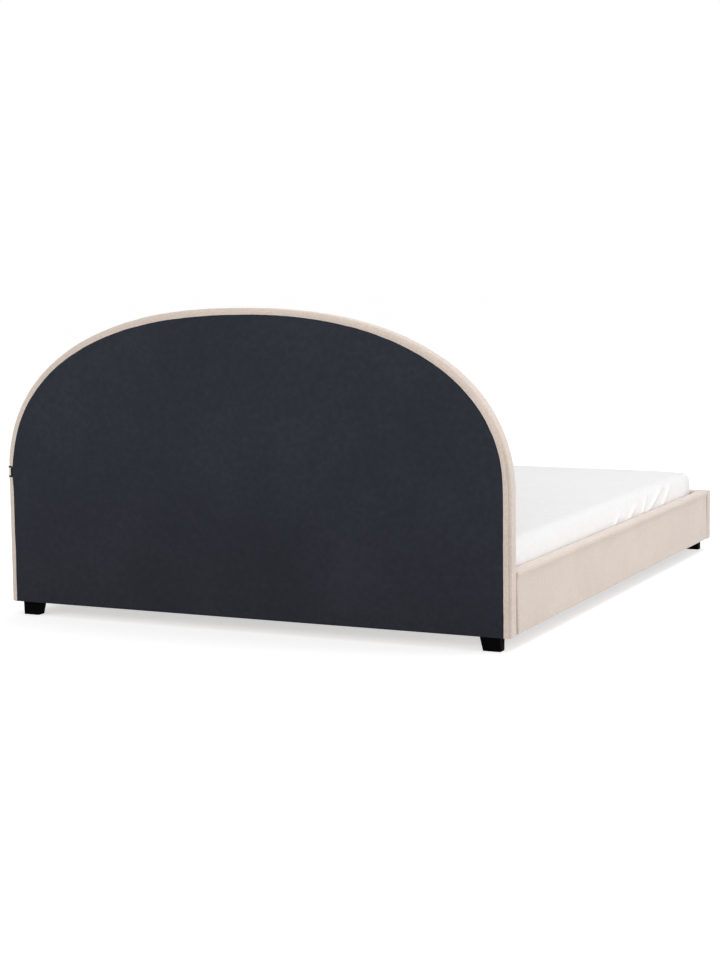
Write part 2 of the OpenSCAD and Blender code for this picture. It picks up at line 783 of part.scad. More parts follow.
// Puts its children at each frame bolt, with +Z along the bolt and the origin on the bracket
module at_head_bolts() {
  both_sides() for (z = bolt_zs)
    translate([well_x - bolt_reach, head_y - steel_t, z]) rotate([-90, 0, 0]) children();
}
module at_foot_bolts() {
  both_sides() for (z = bolt_zs)
    translate([well_x - bolt_reach, foot_y + steel_t, z]) rotate([90, 0, 0]) children();
}
module at_rail_bolts() {
  both_sides() for (y = [head_y - bolt_reach, foot_y + bolt_reach], z = bolt_zs)
    translate([well_x - steel_t, y, z]) rotate([0, 90, 0]) children();
}
module head_bolts() {
  color(steel_colour) at_head_bolts() translate([0, 0, -washer_t]) frame_bolt(head_bolt_l);
}
module rail_bolts() {
  color(steel_colour) {
    at_foot_bolts() translate([0, 0, -washer_t]) frame_bolt(rail_bolt_l);
    at_rail_bolts() translate([0, 0, -washer_t]) frame_bolt(rail_bolt_l);
  }
}
module washer() {
  translate([0, 0, -washer_t]) difference() {
    cylinder(d = washer_d, h = washer_t);
    translate([0, 0, -cut]) cylinder(d = bolt_d + bore_fit, h = washer_t + 2 * cut);
  }
}
module bolt_washers() {
  color(steel_colour) {
    at_head_bolts() washer();
    at_foot_bolts() washer();
    at_rail_bolts() washer();
  }
}
module insert_nut() {
  difference() {
    cylinder(d = insert_d, h = insert_l);
    translate([0, 0, -cut]) cylinder(d = bolt_d + bore_fit, h = insert_l + 2 * cut);
  }
}
module insert_nuts() {
  color(steel_colour) {
    at_head_bolts() translate([0, 0, steel_t + head_t - board_v]) insert_nut();
    at_foot_bolts() translate([0, 0, steel_t + board_inset]) insert_nut();
    at_rail_bolts() translate([0, 0, steel_t + board_inset]) insert_nut();
  }
}

// Centre beam and what carries it
beam_head_y = head_y - steel_t - beam_end_gap;
beam_foot_y = foot_y + steel_t + beam_end_gap;
beam_screw_spots = concat(
  [head_y - beam_screw_y, foot_y + beam_screw_y],
  [for (y = leg_ys, s = [-1, 1]) y + s * leg_screw_y]
);
module centre_beam() {
  color(dark_steel_colour) difference() {
    translate([-beam_w / 2, beam_foot_y, beam_z]) cube([beam_w, beam_head_y - beam_foot_y, beam_h]);
    translate([tube_wall - beam_w / 2, beam_foot_y - cut, beam_z + tube_wall])
      cube([beam_w - 2 * tube_wall, beam_head_y - beam_foot_y + 2 * cut, beam_h - 2 * tube_wall]);
    for (y = beam_screw_spots) rod_z([0, y, beam_z - cut], tube_wall + 2 * cut, beam_screw_d + bore_fit);
    for (x = [-peg_x, peg_x], y = slat_ys)
      rod_z([x, y, ledge_top + cut], -tube_wall - 2 * cut, peg_d + fit);
  }
}
module beam_hanger(end_y, way) {
  color(dark_steel_colour) difference() {
    union() {
      translate([-hanger_half, min(end_y, end_y - way * steel_t), bracket_z])
        cube([2 * hanger_half, steel_t, ledge_top - bracket_z]);
      translate([-beam_w / 2, min(end_y, end_y - way * hanger_shelf), beam_z - steel_t])
        cube([beam_w, hanger_shelf, steel_t]);
    }
    hanger_holes(end_y + way * cut, end_y - way * (steel_t + cut), screw_d + bore_fit);
    rod_z([0, end_y - way * beam_screw_y, beam_z + cut], -steel_t - 2 * cut, beam_screw_d + hole_fit);
  }
}
module head_beam_hanger() beam_hanger(head_y, 1);
module foot_beam_hanger() beam_hanger(foot_y, -1);
module hanger_screws() {
  color(steel_colour) for (x = [-1, 1], z = hanger_screw_zs) {
    translate([x * hanger_screw_x, head_y - steel_t, z]) rotate([-90, 0, 0]) wood_screw(head_screw_l);
    translate([x * hanger_screw_x, foot_y + steel_t, z]) rotate([90, 0, 0]) wood_screw(foot_screw_hanger_l);
  }
}
module beam_screws() {
  color(steel_colour) for (y = beam_screw_spots)
    translate([0, y, beam_z - steel_t])
      fastener(beam_screw_d, steel_t + tube_wall + beam_screw_tip,
        2 * beam_screw_d, beam_screw_head_t, 0.8 * beam_screw_d);
}
module centre_leg(y) {
  color(dark_steel_colour) translate([0, y, 0]) difference() {
    union() {
      translate([-beam_w / 2, -leg_plate_l / 2, beam_z - steel_t]) cube([beam_w, leg_plate_l, steel_t]);
      translate([0, 0, leg_z]) cylinder(d = leg_d, h = beam_z - steel_t - leg_z);
    }
    translate([0, 0, leg_z - cut])
      cylinder(d = leg_d - 2 * tube_wall, h = beam_z - steel_t - leg_z + cut);
    for (s = [-1, 1])
      rod_z([0, s * leg_screw_y, beam_z + cut], -steel_t - 2 * cut, beam_screw_d + hole_fit);
  }
}
module head_centre_leg() centre_leg(leg_ys[0]);
module foot_centre_leg() centre_leg(leg_ys[1]);
module leg_plugs() {
  color(black_colour) for (y = leg_ys) translate([0, y, plug_z]) difference() {
    union() {
      cylinder(d = leg_d, h = plug_flange);
      cylinder(d = leg_d - 2 * tube_wall - bore_fit, h = plug_flange + plug_l);
    }
    translate([0, 0, -cut]) cylinder(d = rod_d + bore_fit, h = plug_flange + plug_l + 2 * cut);
  }
}
module lock_nuts() {
  color(steel_colour) for (y = leg_ys) translate([0, y, nut_z]) difference() {
    cylinder(d = nut_d, h = nut_h, $fn = 6);
    translate([0, 0, -cut]) cylinder(d = rod_d + bore_fit, h = nut_h + 2 * cut);
  }
}
module leveller(y) {
  r = leveller_d / 2;
  color(black_colour) translate([0, y, 0]) rotate_extrude() polygon([
    [0, 0], [r - 1, 0], [r, 1], [r, 3], [r - 5, leveller_base_h], [rod_d / 2, leveller_base_h],
    [rod_d / 2, rod_top - 1], [rod_d / 2 - 1, rod_top], [0, rod_top]
  ]);
}
module head_leveller() leveller(leg_ys[0]);
module foot_leveller() leveller(leg_ys[1]);

// Bowed slats in two rows; grow makes the slightly larger shape that leaves a cap's pocket
function slat_bow(x) = slat_rise * (1 - pow((x - slat_mid) / slat_half, 2));
module slat(y, grow = 0) {
  xs = [for (i = [0:slat_steps]) slat_in + 2 * slat_half * i / slat_steps];
  translate([0, y + slat_w / 2 + grow, 0]) rotate([90, 0, 0]) linear_extrude(slat_w + 2 * grow)
    polygon(concat(
      [for (x = xs) [x + grow * sign(x - slat_mid), slat_z + slat_bow(x) - grow]],
      [for (x = reversed(xs)) [x + grow * sign(x - slat_mid), slat_z + slat_t + slat_bow(x) + grow]]
    ));
}
cap_half = slat_w / 2 + cap_wall;
cap_out = well_x - fit;
cap_peg_x = well_x - ledge_w / 2;
module slat_cap(y) {
  difference() {
    union() {
      translate([cap_out - cap_l, y - cap_half, ledge_top]) cube([cap_l, 2 * cap_half, cap_h]);
      rod_z([cap_peg_x, y, ledge_top + cap_floor / 2], -cap_floor / 2 - peg_l, peg_d);
    }
    slat(y, fit);
  }
}
module slats() {
  color(timber_colour) for (y = slat_ys) slat(y);
}
module slat_caps() {
  color(black_colour) for (y = slat_ys) slat_cap(y);
}
module left_slats() mirror([1, 0, 0]) slats();
module right_slats() slats();
module left_slat_caps() mirror([1, 0, 0]) slat_caps();
module right_slat_caps() slat_caps();
module centre_slat_caps() {
  color(black_colour) for (y = slat_ys) difference() {
    union() {
      translate([-centre_cap_w / 2, y - cap_half, ledge_top]) cube([centre_cap_w, 2 * cap_half, cap_h]);
      for (x = [-peg_x, peg_x]) rod_z([x, y, ledge_top + cap_floor / 2], -cap_floor / 2 - peg_l, peg_d);
    }
    both_sides() slat(y, fit);
  }
}

// Mattress: a core in a two-part cover that a zip joins low on the sides
module mattress_core() {
  color(foam_colour)
    loft(concat(reversed(mattress_low_rings(mattress_skin + foam_play)),
      mattress_top_rings(mattress_skin + foam_play)));
}
module mattress_top_cover() {
  color(white_colour)
    loft(concat(reversed(mattress_top_rings(mattress_skin)), mattress_top_rings(0)));
}
module mattress_base_cover() {
  color(white_colour)
    loft(concat(reversed(mattress_low_rings(0)), mattress_low_rings(mattress_skin)));
}
module mattress_zip() {
  w = mattress_w - 2 * mattress_draw;
  l = mattress_l - 2 * mattress_draw;
  r = mattress_corner - mattress_draw;
  color(white_colour)
    translate([-w / 2, mattress_mid_y - l / 2, mattress_z + zip_rise - zip_w / 2])
      linear_extrude(zip_w) difference() {
        polygon(soft_rectangle(w, l, r, r, 1, corner_steps));
        polygon(soft_rectangle(w, l, r, r, mattress_skin, corner_steps));
      }
}

headboard_left_post();
headboard_right_post();
headboard_lower_centre_post();
headboard_upper_centre_post();
headboard_bottom_rail();
headboard_middle_rail();
headboard_arch_ribs();
headboard_front_board();
headboard_foam();
headboard_cover();
headboard_rear_hem();
headboard_back_cloth();
back_cloth_staples();
blank_label();
rear_left_foot();
rear_right_foot();
front_left_foot();
front_right_foot();
foot_screws();
left_rail_board();
left_rail_foam();
left_rail_cover();
right_rail_board();
right_rail_foam();
right_rail_cover();
foot_rail_board();
foot_rail_foam();
foot_rail_cover();
left_ledge();
right_ledge();
ledge_screws();
head_left_bracket();
head_right_bracket();
foot_left_bracket();
foot_right_bracket();
head_bolts();
rail_bolts();
bolt_washers();
insert_nuts();
centre_beam();
head_beam_hanger();
foot_beam_hanger();
hanger_screws();
beam_screws();
head_centre_leg();
foot_centre_leg();
leg_plugs();
lock_nuts();
head_leveller();
foot_leveller();
left_slats();
right_slats();
left_slat_caps();
right_slat_caps();
centre_slat_caps();
mattress_core();
mattress_top_cover();
mattress_base_cover();
mattress_zip();
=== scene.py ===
"""The looks of a double bed with an arched, padded headboard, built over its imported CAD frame.

Metres. X runs across the bed, +Y points to the headboard and Z is up. Depths in the headboard
are counted forwards from its back plane, and "out" is outwards from the timber's edge.
"""
import math

import bmesh
import bpy
from mathutils import Matrix, Vector, noise


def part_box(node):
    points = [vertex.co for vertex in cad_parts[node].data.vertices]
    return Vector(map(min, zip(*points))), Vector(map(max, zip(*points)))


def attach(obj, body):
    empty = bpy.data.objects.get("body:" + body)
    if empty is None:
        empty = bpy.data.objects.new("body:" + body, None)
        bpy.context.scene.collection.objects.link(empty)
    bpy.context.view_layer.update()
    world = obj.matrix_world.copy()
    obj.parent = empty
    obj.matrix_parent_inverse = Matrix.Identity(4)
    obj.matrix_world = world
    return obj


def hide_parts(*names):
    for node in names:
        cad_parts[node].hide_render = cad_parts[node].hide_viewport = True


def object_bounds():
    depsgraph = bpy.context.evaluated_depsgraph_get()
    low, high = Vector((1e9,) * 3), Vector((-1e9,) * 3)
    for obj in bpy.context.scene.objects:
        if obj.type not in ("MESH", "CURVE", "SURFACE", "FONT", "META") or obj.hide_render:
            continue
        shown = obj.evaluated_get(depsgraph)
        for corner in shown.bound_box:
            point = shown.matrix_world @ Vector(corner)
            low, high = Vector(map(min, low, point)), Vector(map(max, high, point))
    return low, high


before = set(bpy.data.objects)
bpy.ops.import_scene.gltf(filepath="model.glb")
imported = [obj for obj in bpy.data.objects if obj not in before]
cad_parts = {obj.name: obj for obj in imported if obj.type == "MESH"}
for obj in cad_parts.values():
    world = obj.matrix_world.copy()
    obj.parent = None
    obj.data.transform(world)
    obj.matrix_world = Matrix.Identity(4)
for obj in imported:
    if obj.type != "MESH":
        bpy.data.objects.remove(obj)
cad_low, cad_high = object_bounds()

# Measures read from the frame
BACK_Y = cad_high.y
SIDE_X = cad_high.x
cloth_low, cloth_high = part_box("headboard_back_cloth")
board_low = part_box("headboard_front_board")[0]
post_low, post_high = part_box("headboard_left_post")
cover_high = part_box("headboard_cover")[1]
side_low, side_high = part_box("right_rail_cover")
foot_low, foot_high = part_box("foot_rail_cover")
mattress_low, mattress_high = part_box("mattress_base_cover")
mattress_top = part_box("mattress_top_cover")[1].z
zip_low, zip_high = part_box("mattress_zip")
label_low, label_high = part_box("blank_label")
TIMBERS = [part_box("headboard_" + name) for name in
           ("left_post", "right_post", "bottom_rail", "middle_rail", "lower_centre_post",
            "upper_centre_post")]

# The headboard's outline
EDGE_X = cloth_high.x                 # half width of the timber arch
BASE_Z = cloth_low.z                  # underside of headboard and rails
SPRING_Z = post_high.z                # where the arch starts
ARCH_RISE = cloth_high.z - SPRING_Z
ARCH_POWER = 2.3                      # squareness of the arch, as in the part's source
RIB_W = 0.060                         # width of the timber ribs along the arch
TIMBER_Z = post_low.z
BOARD_DEPTH = BACK_Y - board_low.y    # front face of the hardboard
ARCH_STEPS = 300
SIDE_STEPS = 40
FLOOR_STEPS = 160

# The headboard's upholstery
ROLL_OUT = cover_high.x - EDGE_X      # how far the roll stands out from the timber
ROLL_R = 0.025                        # radius of its turn to the front
HEAD_DEPTH = 0.066                    # front of the pad where it is flat
TIMBER_GAP = 0.0003                   # room between the padding and the timber in it
HOLLOW_DEPTH = 0.012                  # where the hollow for the timber starts
PAD_SWELL = 0.008
PAD_FLAT = 0.006                      # how far above the rails the front stays flat
PAD_REACH = 0.35                      # share of the way to the middle over which it swells
SLACK_REACH = (0.02, 0.2)             # between which shares its soft unevenness grows
PAD_ROWS = 44
PAD_SPACING = 1.15                    # above 1, the rows lie closer together near the roll
PUCKER_X, PUCKER_Z = 0.9, 0.95        # shares of a point's place from where the gathers push it out
WRAP_FLAT = 0.0065                    # how far the cloth lies flat on the back before it turns
WRAP_R = ROLL_OUT - WRAP_FLAT         # radius of the soft turn at the back
WRAP_FACE = 0.0004                    # depth of its rearmost face
STRIP_TURN = 30                       # degrees of the turn that belong to the strip
CREASE_DEEP = 0.0056                  # depth of the crease between the strip and the padded roll
CREASE_RISE = (6, 48)                 # degrees past the strip over which the roll rises from it
CREASE_FADE = 0.75                    # share of its depth that it loses over the arch
FADE_RISE = (0.02, 0.26)              # heights over the arch's start between which it loses that
STRIP_DRAW = 0.75                     # share of the crease that the strip draws in
STRIP_POWER = 2.5                     # how late across the strip it does so
STRIP_STEPS = 7
WRAP_STEPS = 14
ROLL_STEPS = 10

# The dark cloth and the label
HEM_W = 0.013
HEM_END = 0.022                       # how far in from the edge the cloth is free of its hem
CLOTH_DEPTH = 0.0012                  # where the cloth lies over the timber
CLOTH_SAG = 0.0020                    # how much deeper it hangs between timbers
SAG_REACH = 0.09                      # distance from the timber at which it hangs freely
CLOTH_THICK = 0.0004
CLOTH_ROWS = 60
SHOULDER_SHIFT = 0.0034               # how much further out it runs at the shoulder on the -X side
SHOULDER_SIDE = (-0.20, 0.10)         # distances towards -X between which that grows
SHOULDER_RISE = 0.15                  # and the height above the arch's start at which it is whole
LABEL_SHIFT = 0.0030                  # how much further out it runs beside the label
LABEL_REACH = 0.045
TAPE_THICK = 0.0005
TAPE_LIFT = 0.0003                    # how far the tape lies over the strip
TAPE_TURN = 72                        # degrees of the turn that it covers
TAPE_STEPS = 12
TAPE_BEND = 0.0004                    # how far its edges wave
TAPE_WAVES = 1.1
TAPE_ROWS = 18
TAPE_END = 0.0065                     # width of the dark end of the label

# The rails
RAIL_T = foot_high.y - foot_low.y
RAIL_H = side_high.z - side_low.z
TOP_R = 0.0060                        # rounding along a rail's top
LOW_R = 0.004                         # and along its underside
END_R = 0.0016                        # rounding of a rail's ends
END_RUNS = (0.0, 0.0004, 0.0011, END_R)    # places along that rounding
CORNER_R = 0.010                      # upright corners of the foot rail
CORNER_STEPS = 9
RAIL_STEP = 0.014
RAIL_COLUMNS = 72
DIP_DEEP = 0.0046                     # how deep the outer face dips under the top
DIP_START = (0.001, 0.028)            # between which distances from the top it falls in
DIP_END = (0.026, 0.180)              # and comes out again
DIP_FADE = 0.9                        # share of the dip that is gone at the underside

# The mattress
MATTRESS_MID = (mattress_low + mattress_high) / 2
MATTRESS_W = mattress_high.x - mattress_low.x
MATTRESS_L = mattress_high.y - mattress_low.y
MATTRESS_H = mattress_top - mattress_low.z
MATTRESS_CORNER = 0.034               # radius of the upright corners
TIGHTEST_CORNER = 0.012
TOP_EDGE = 0.026
LOW_EDGE = 0.012
CROWN = 0.009                         # how much higher the middle is than the corners
RIM = MATTRESS_H - CROWN              # height of the corners
EDGE_RISE = 0.006                     # how much higher the edges are half way than at the corners
FULL_SIDE = 0.0128                    # how far the sides swell between the rails
FULL_END = 1.2 * FULL_SIDE            # how far the foot end swells
SWELL_START = (0.0, 0.05)             # between which heights they swell out
SWELL_END = (0.086, 0.172)            # and draw in again
SIDE_REACH = (0.03, 0.10)             # between which distances from a side its swell fades
END_REACH = (-0.01, 0.15)             # between which distances from an end it starts
FOOT_REACH = (0.02, 0.08)             # between which distances from the foot end its swell fades
LEAN_ROOM = 0.0004                    # how much further than FULL_SIDE a side may come to its rail
SIDE_INSET = 0.0008                   # how far the sides start inside the cover's size
SOFT_OUT, SOFT_UP = 0.5, 0.3          # shares of a side's unevenness that move it out and up
CROWN_REACH = 0.4                     # share of the way to the middle over which the top rises
BUMP_ROOM = 0.0004                    # how far soft bumps may stand over the crown
MATTRESS_COLUMNS = 1100
LOW_EDGE_ROWS = 5
SIDE_ROWS = 36
TOP_EDGE_ROWS = 7
TOP_ROWS = 26
TOP_SPACING = 1.2                     # above 1, the rows lie closer together near the edge
FOLD_HIGH = 0.0042
FOLD_W = 0.0075
FOLD_START = (-0.06, -0.01)           # places from its lower end between which a fold rises
FOLD_END = (-0.02, 0.03)              # and from its upper end between which it fades
FOLDS = (((-0.055, 0.231), (-0.083, 0.248)), ((-0.199, 0.228), (-0.277, 0.258)),
         ((-0.349, 0.228), (-0.430, 0.281)), ((-0.430, 0.228), (-0.655, 0.299)),
         ((-0.606, 0.232), (-0.732, 0.288)))   # lower and upper ends (y, z) of the pull folds
ZIP_HEIGHT = (zip_low.z + zip_high.z) / 2 - mattress_low.z
ZIP_HALF = (zip_high.z - zip_low.z) / 2
ZIP_DRAWS = ((0.0045, 0.006), (0.002, 0.03))   # depth and half width of its groove and its hollow
ZIP_SECTION = ((0.0012, -1.0), (-0.0004, -1.0), (-0.0007, -0.85), (-0.0007, 0.85), (-0.0004, 1.0),
               (0.0012, 1.0))         # how deep each point of the tape lies, and its share of ZIP_HALF

TINY = 1e-9                           # far less than any length or share here
SAME_PLACE = 1e-6                     # points this close to each other are one
NO_LENGTH = 1e-7
SEED_SHIFT = (1.0, 1.7, 0.3)          # direction in which a seed moves the lumps


# Numbers and outlines


def smooth_step(low, high, x):
    """0 up to low, 1 from high, and a soft change between them."""
    t = min(max((x - low) / (high - low), 0.0), 1.0)
    return t * t * (3 - 2 * t)


def hump(away, width):
    """1 in the middle, falling off softly on both sides."""
    return math.exp(-(away / width) ** 2)


def lump(point, height, size, seed):
    """Soft random value between about -height and height, with lumps about size across."""
    shift = Vector([seed * part for part in SEED_SHIFT])
    return height * noise.noise(Vector(point) / size + shift)


def arc(x, y, radius, start, end, steps):
    """Points of an arc round a centre, from one angle in degrees to another."""
    angles = [math.radians(start + (end - start) * i / steps) for i in range(steps + 1)]
    return [(x + radius * math.cos(a), y + radius * math.sin(a)) for a in angles]


def along(points, count):
    """count points spaced evenly along a closed line of 2D points, from its first point."""
    ends = points[1:] + points[:1]
    lengths = [math.dist(a, b) for a, b in zip(points, ends)]
    step = sum(lengths) / count
    done, result = 0.0, []
    for start, end, length in zip(points, ends, lengths):
        while len(result) < count and len(result) * step < done + length - TINY:
            t = (len(result) * step - done) / length
            result.append(tuple(a + (b - a) * t for a, b in zip(start, end)))
        done += length
    return result


def soft_box(w, h, low_r, top_r, inset=0.0, steps=8):
    """Outline of a rectangle from the origin with rounded corners, its sides moved in by inset."""
    corners = ((low_r, low_r, low_r, 180), (w - low_r, low_r, low_r, 270),
               (w - top_r, h - top_r, top_r, 0), (top_r, h - top_r, top_r, 90))
    return [point for x, y, r, turn in corners for point in arc(x, y, r - inset, turn, turn + 90, steps)]


def drawn_in(ring, centre, share):
    """A 2D ring moved towards a centre by a share of the way."""
    return [(x + (centre[0] - x) * share, y + (centre[1] - y) * share) for x, y in ring]


def rounding(radius, near):
    """How far a corner of this radius draws in at a distance from its end."""
    left = radius - min(near, radius)
    return radius - math.sqrt(max(radius ** 2 - left ** 2, 0.0))


# Meshes


def in_scene(name, data):
    """A new object with its data, linked to the scene."""
    made = bpy.data.objects.new(name, data)
    bpy.context.scene.collection.objects.link(made)
    return made


def mesh_of(bm, name):
    """A mesh made of a bmesh, which is freed."""
    mesh = bpy.data.meshes.new(name)
    bm.to_mesh(mesh)
    bm.free()
    return mesh


def lofted(name, rings, closed=True, crease=40):
    """A piece with a grid laid through rings of points, all of the same number.

    closed joins each ring's ends, and edges sharper than crease degrees stay sharp in shading.
    """
    columns = len(rings[0]) - (0 if closed else 1)
    rows = len(rings) - 1
    bm = bmesh.new()
    made = bmesh.ops.create_grid(bm, x_segments=columns, y_segments=rows, size=0.5)
    for vert in made["verts"]:
        column = round((vert.co.x + 0.5) * columns)
        row = round((vert.co.y + 0.5) * rows)
        vert.co = rings[row][column % len(rings[row])]
    bmesh.ops.remove_doubles(bm, verts=bm.verts, dist=SAME_PLACE)
    bmesh.ops.dissolve_degenerate(bm, edges=bm.edges, dist=NO_LENGTH)
    bmesh.ops.recalc_face_normals(bm, faces=bm.faces)
    for face in bm.faces:
        face.smooth = True
    mesh = mesh_of(bm, name)
    mesh.set_sharp_from_angle(angle=math.radians(crease))
    return in_scene(name, mesh)


def capped(rings, middles):
    """Rings closed at both ends by a cap that runs to a middle point."""
    first, last = ([middle] * len(rings[0]) for middle in middles)
    return [first] + rings + [last]


def thickened(piece, thickness, offset):
    """Gives a sheet its thickness: half to each side at offset 0, all outwards at offset 1."""
    solid = piece.modifiers.new("thickness", "SOLIDIFY")
    solid.thickness = thickness
    solid.offset = offset
    return piece


# Parts of materials


def tree_of(name):
    """A new material, its node tree, and the Principled shader that is in it."""
    material = bpy.data.materials.new(name)
    material.use_nodes = True
    return material, material.node_tree, material.node_tree.nodes["Principled BSDF"]


def set_inputs(node, values):
    """Sets inputs of a node by their labels."""
    for label, value in values.items():
        node.inputs[label].default_value = value


def place_of(tree):
    """The place of a point in its piece."""
    return tree.nodes.new("ShaderNodeTexCoord").outputs["Object"]


def axes_of(tree, place):
    """The X, Y and Z of a place."""
    split = tree.nodes.new("ShaderNodeSeparateXYZ")
    tree.links.new(place, split.inputs[0])
    return split.outputs


def calc(tree, operation, first, second=0):
    """Output of a Math node on one or two values, each a number or a node's output."""
    node = tree.nodes.new("ShaderNodeMath")
    node.operation = operation
    for socket, value in zip(node.inputs, (first, second)):
        if isinstance(value, (int, float)):
            socket.default_value = value
        else:
            tree.links.new(value, socket)
    return node.outputs[0]


def weighted(tree, *parts):
    """Sum of values, each given with its weight."""
    total, *others = [calc(tree, "MULTIPLY", value, weight) for value, weight in parts]
    for part in others:
        total = calc(tree, "ADD", total, part)
    return total


def wave(tree, value, pitch):
    """Sine of a value that repeats after pitch."""
    return calc(tree, "SINE", calc(tree, "MULTIPLY", value, 2 * math.pi / pitch))


def away_from(tree, value, middle, reach):
    """How far a value is from a middle, as a share of reach."""
    return calc(tree, "DIVIDE", calc(tree, "ABSOLUTE", calc(tree, "SUBTRACT", value, middle)), reach)


def noise_map(tree, place, scale, detail=2.0, roughness=0.5):
    """Soft random values between 0 and 1, about scale of them to a metre."""
    node = tree.nodes.new("ShaderNodeTexNoise")
    set_inputs(node, {"Scale": scale, "Detail": detail, "Roughness": roughness})
    tree.links.new(place, node.inputs["Vector"])
    return node.outputs["Fac"]


def thread_waves(tree, place, pitch):
    """Sum of a wave along each axis, which gives two crossing sets of threads on any flat side."""
    return weighted(tree, *((wave(tree, axis, pitch), 1) for axis in axes_of(tree, place)))


def ramp(tree, source, stops):
    """Colours spread over a value, from stops of a value and its colour."""
    node = tree.nodes.new("ShaderNodeValToRGB")
    elements = node.color_ramp.elements
    while len(elements) < len(stops):
        elements.new(0.5)
    for element, (position, colour) in zip(elements, stops):
        element.position = position
        element.color = (*colour, 1)
    tree.links.new(source, node.inputs["Fac"])
    return node.outputs["Color"]


def shade(colour, share):
    """A colour made darker or lighter by a share."""
    return tuple(min(c * share, 1.0) for c in colour)


def mottled(tree, source, colour, spread, reach=0.2):
    """A colour that a value between 0.5 - reach and 0.5 + reach makes darker or lighter by spread."""
    return ramp(tree, source, [(0.5 - reach, shade(colour, 1 - spread)),
                               (0.5 + reach, shade(colour, 1 + spread))])


def mix_node(tree, blend_type="MIX"):
    """A node that mixes two colours."""
    mix = tree.nodes.new("ShaderNodeMix")
    mix.data_type = "RGBA"
    mix.blend_type = blend_type
    return mix


def painted_shade_by_height(tree, place, colour, stops):
    """A colour multiplied by grey shares given at heights, which paints shade that changes with height."""
    low, high = stops[0][0], stops[-1][0]
    height = axes_of(tree, place)["Z"]
    rise = calc(tree, "DIVIDE", calc(tree, "SUBTRACT", height, low), high - low)
    share = ramp(tree, rise, [((z - low) / (high - low), (s, s, s)) for z, s in stops])
    mix = mix_node(tree, "MULTIPLY")
    mix.inputs["Factor"].default_value = 1.0
    tree.links.new(colour, mix.inputs["A"])
    tree.links.new(share, mix.inputs["B"])
    return mix.outputs["Result"]


def bump(tree, shader, height, distance, strength, under=None):
    """Raises the surface by a height map, over the relief of another bump if one is given."""
    node = tree.nodes.new("ShaderNodeBump")
    set_inputs(node, {"Distance": distance, "Strength": strength})
    tree.links.new(height, node.inputs["Height"])
    if under is not None:
        tree.links.new(under, node.inputs["Normal"])
    tree.links.new(node.outputs["Normal"], shader.inputs["Normal"])
    return node.outputs["Normal"]


# Materials
GRAIN_STRETCH = 0.06                  # how much slower wood changes along its grain
RING_BANDS = 22.0                     # radians of dark and light bands over the range of its rings
# Painted shade on the dark cloth: the share of its lightness that it keeps at each height, lowest near its
# lower edge.
DUST_CLOTH_PAINTED_SHADE = ((BASE_Z, 0.66), (BASE_Z + 0.25, 0.70), (0.60, 0.86), (0.95, 0.92))   # height, lightness


def cloth_material(name, colour, thread, slub, spread, sheen, relief=0.00025, heights=()):
    """Woven cloth: crossing threads, slubs a few threads long, and slow changes of tone. Where heights are
    given, it also carries painted shade that changes with height.
    """
    material, tree, shader = tree_of(name)
    place = place_of(tree)
    weave = thread_waves(tree, place, thread)
    fibres = noise_map(tree, place, scale=1 / thread, detail=3.0, roughness=0.7)
    slubs = noise_map(tree, place, scale=1 / slub, detail=3.0, roughness=0.6)
    cloud = noise_map(tree, place, scale=6.0)
    tone = weighted(tree, (slubs, 0.75), (cloud, 0.25))
    cloth_colour = mottled(tree, tone, colour, spread, reach=0.14)
    # Painted shade: where heights are given, the colour is darkened by the grey share given at each height.
    if heights:
        cloth_colour = painted_shade_by_height(tree, place, cloth_colour, heights)
    tree.links.new(cloth_colour, shader.inputs["Base Color"])
    coarse = bump(tree, shader, slubs, distance=relief * 2, strength=0.5)
    height = weighted(tree, (weave, 0.12), (fibres, 1))
    bump(tree, shader, height, distance=relief, strength=0.7, under=coarse)
    set_inputs(shader, {"Roughness": 0.92, "Specular IOR Level": 0.25, "Sheen Weight": sheen,
                        "Sheen Roughness": 0.5})
    return material


def dust_cloth_material():
    """Thin non-woven cloth: pressed fibres in blotches, with painted shade that darkens it towards its
    lower edge.
    """
    material, tree, shader = tree_of("dark_dust_cloth")
    place = place_of(tree)
    fibres = noise_map(tree, place, scale=420.0, detail=4.0, roughness=0.75)
    blotches = noise_map(tree, place, scale=55.0, detail=4.0, roughness=0.65)
    cloud = noise_map(tree, place, scale=2.6, detail=3.0, roughness=0.6)
    tone = weighted(tree, (blotches, 0.5), (cloud, 0.5))
    cloth_colour = ramp(tree, tone, [(0.36, (0.0172, 0.0213, 0.0297)), (0.5, (0.0212, 0.0256, 0.0353)),
                             (0.66, (0.0284, 0.0332, 0.0445))])
    # Painted shade: the cloth's colour is darkened by height, most towards its lower edge.
    tree.links.new(painted_shade_by_height(tree, place, cloth_colour, DUST_CLOTH_PAINTED_SHADE), shader.inputs["Base Color"])
    coarse = bump(tree, shader, blotches, distance=0.0008, strength=0.35)
    bump(tree, shader, fibres, distance=0.0002, strength=0.5, under=coarse)
    set_inputs(shader, {"Roughness": 0.88, "Specular IOR Level": 0.2, "Sheen Weight": 0.03})
    return material


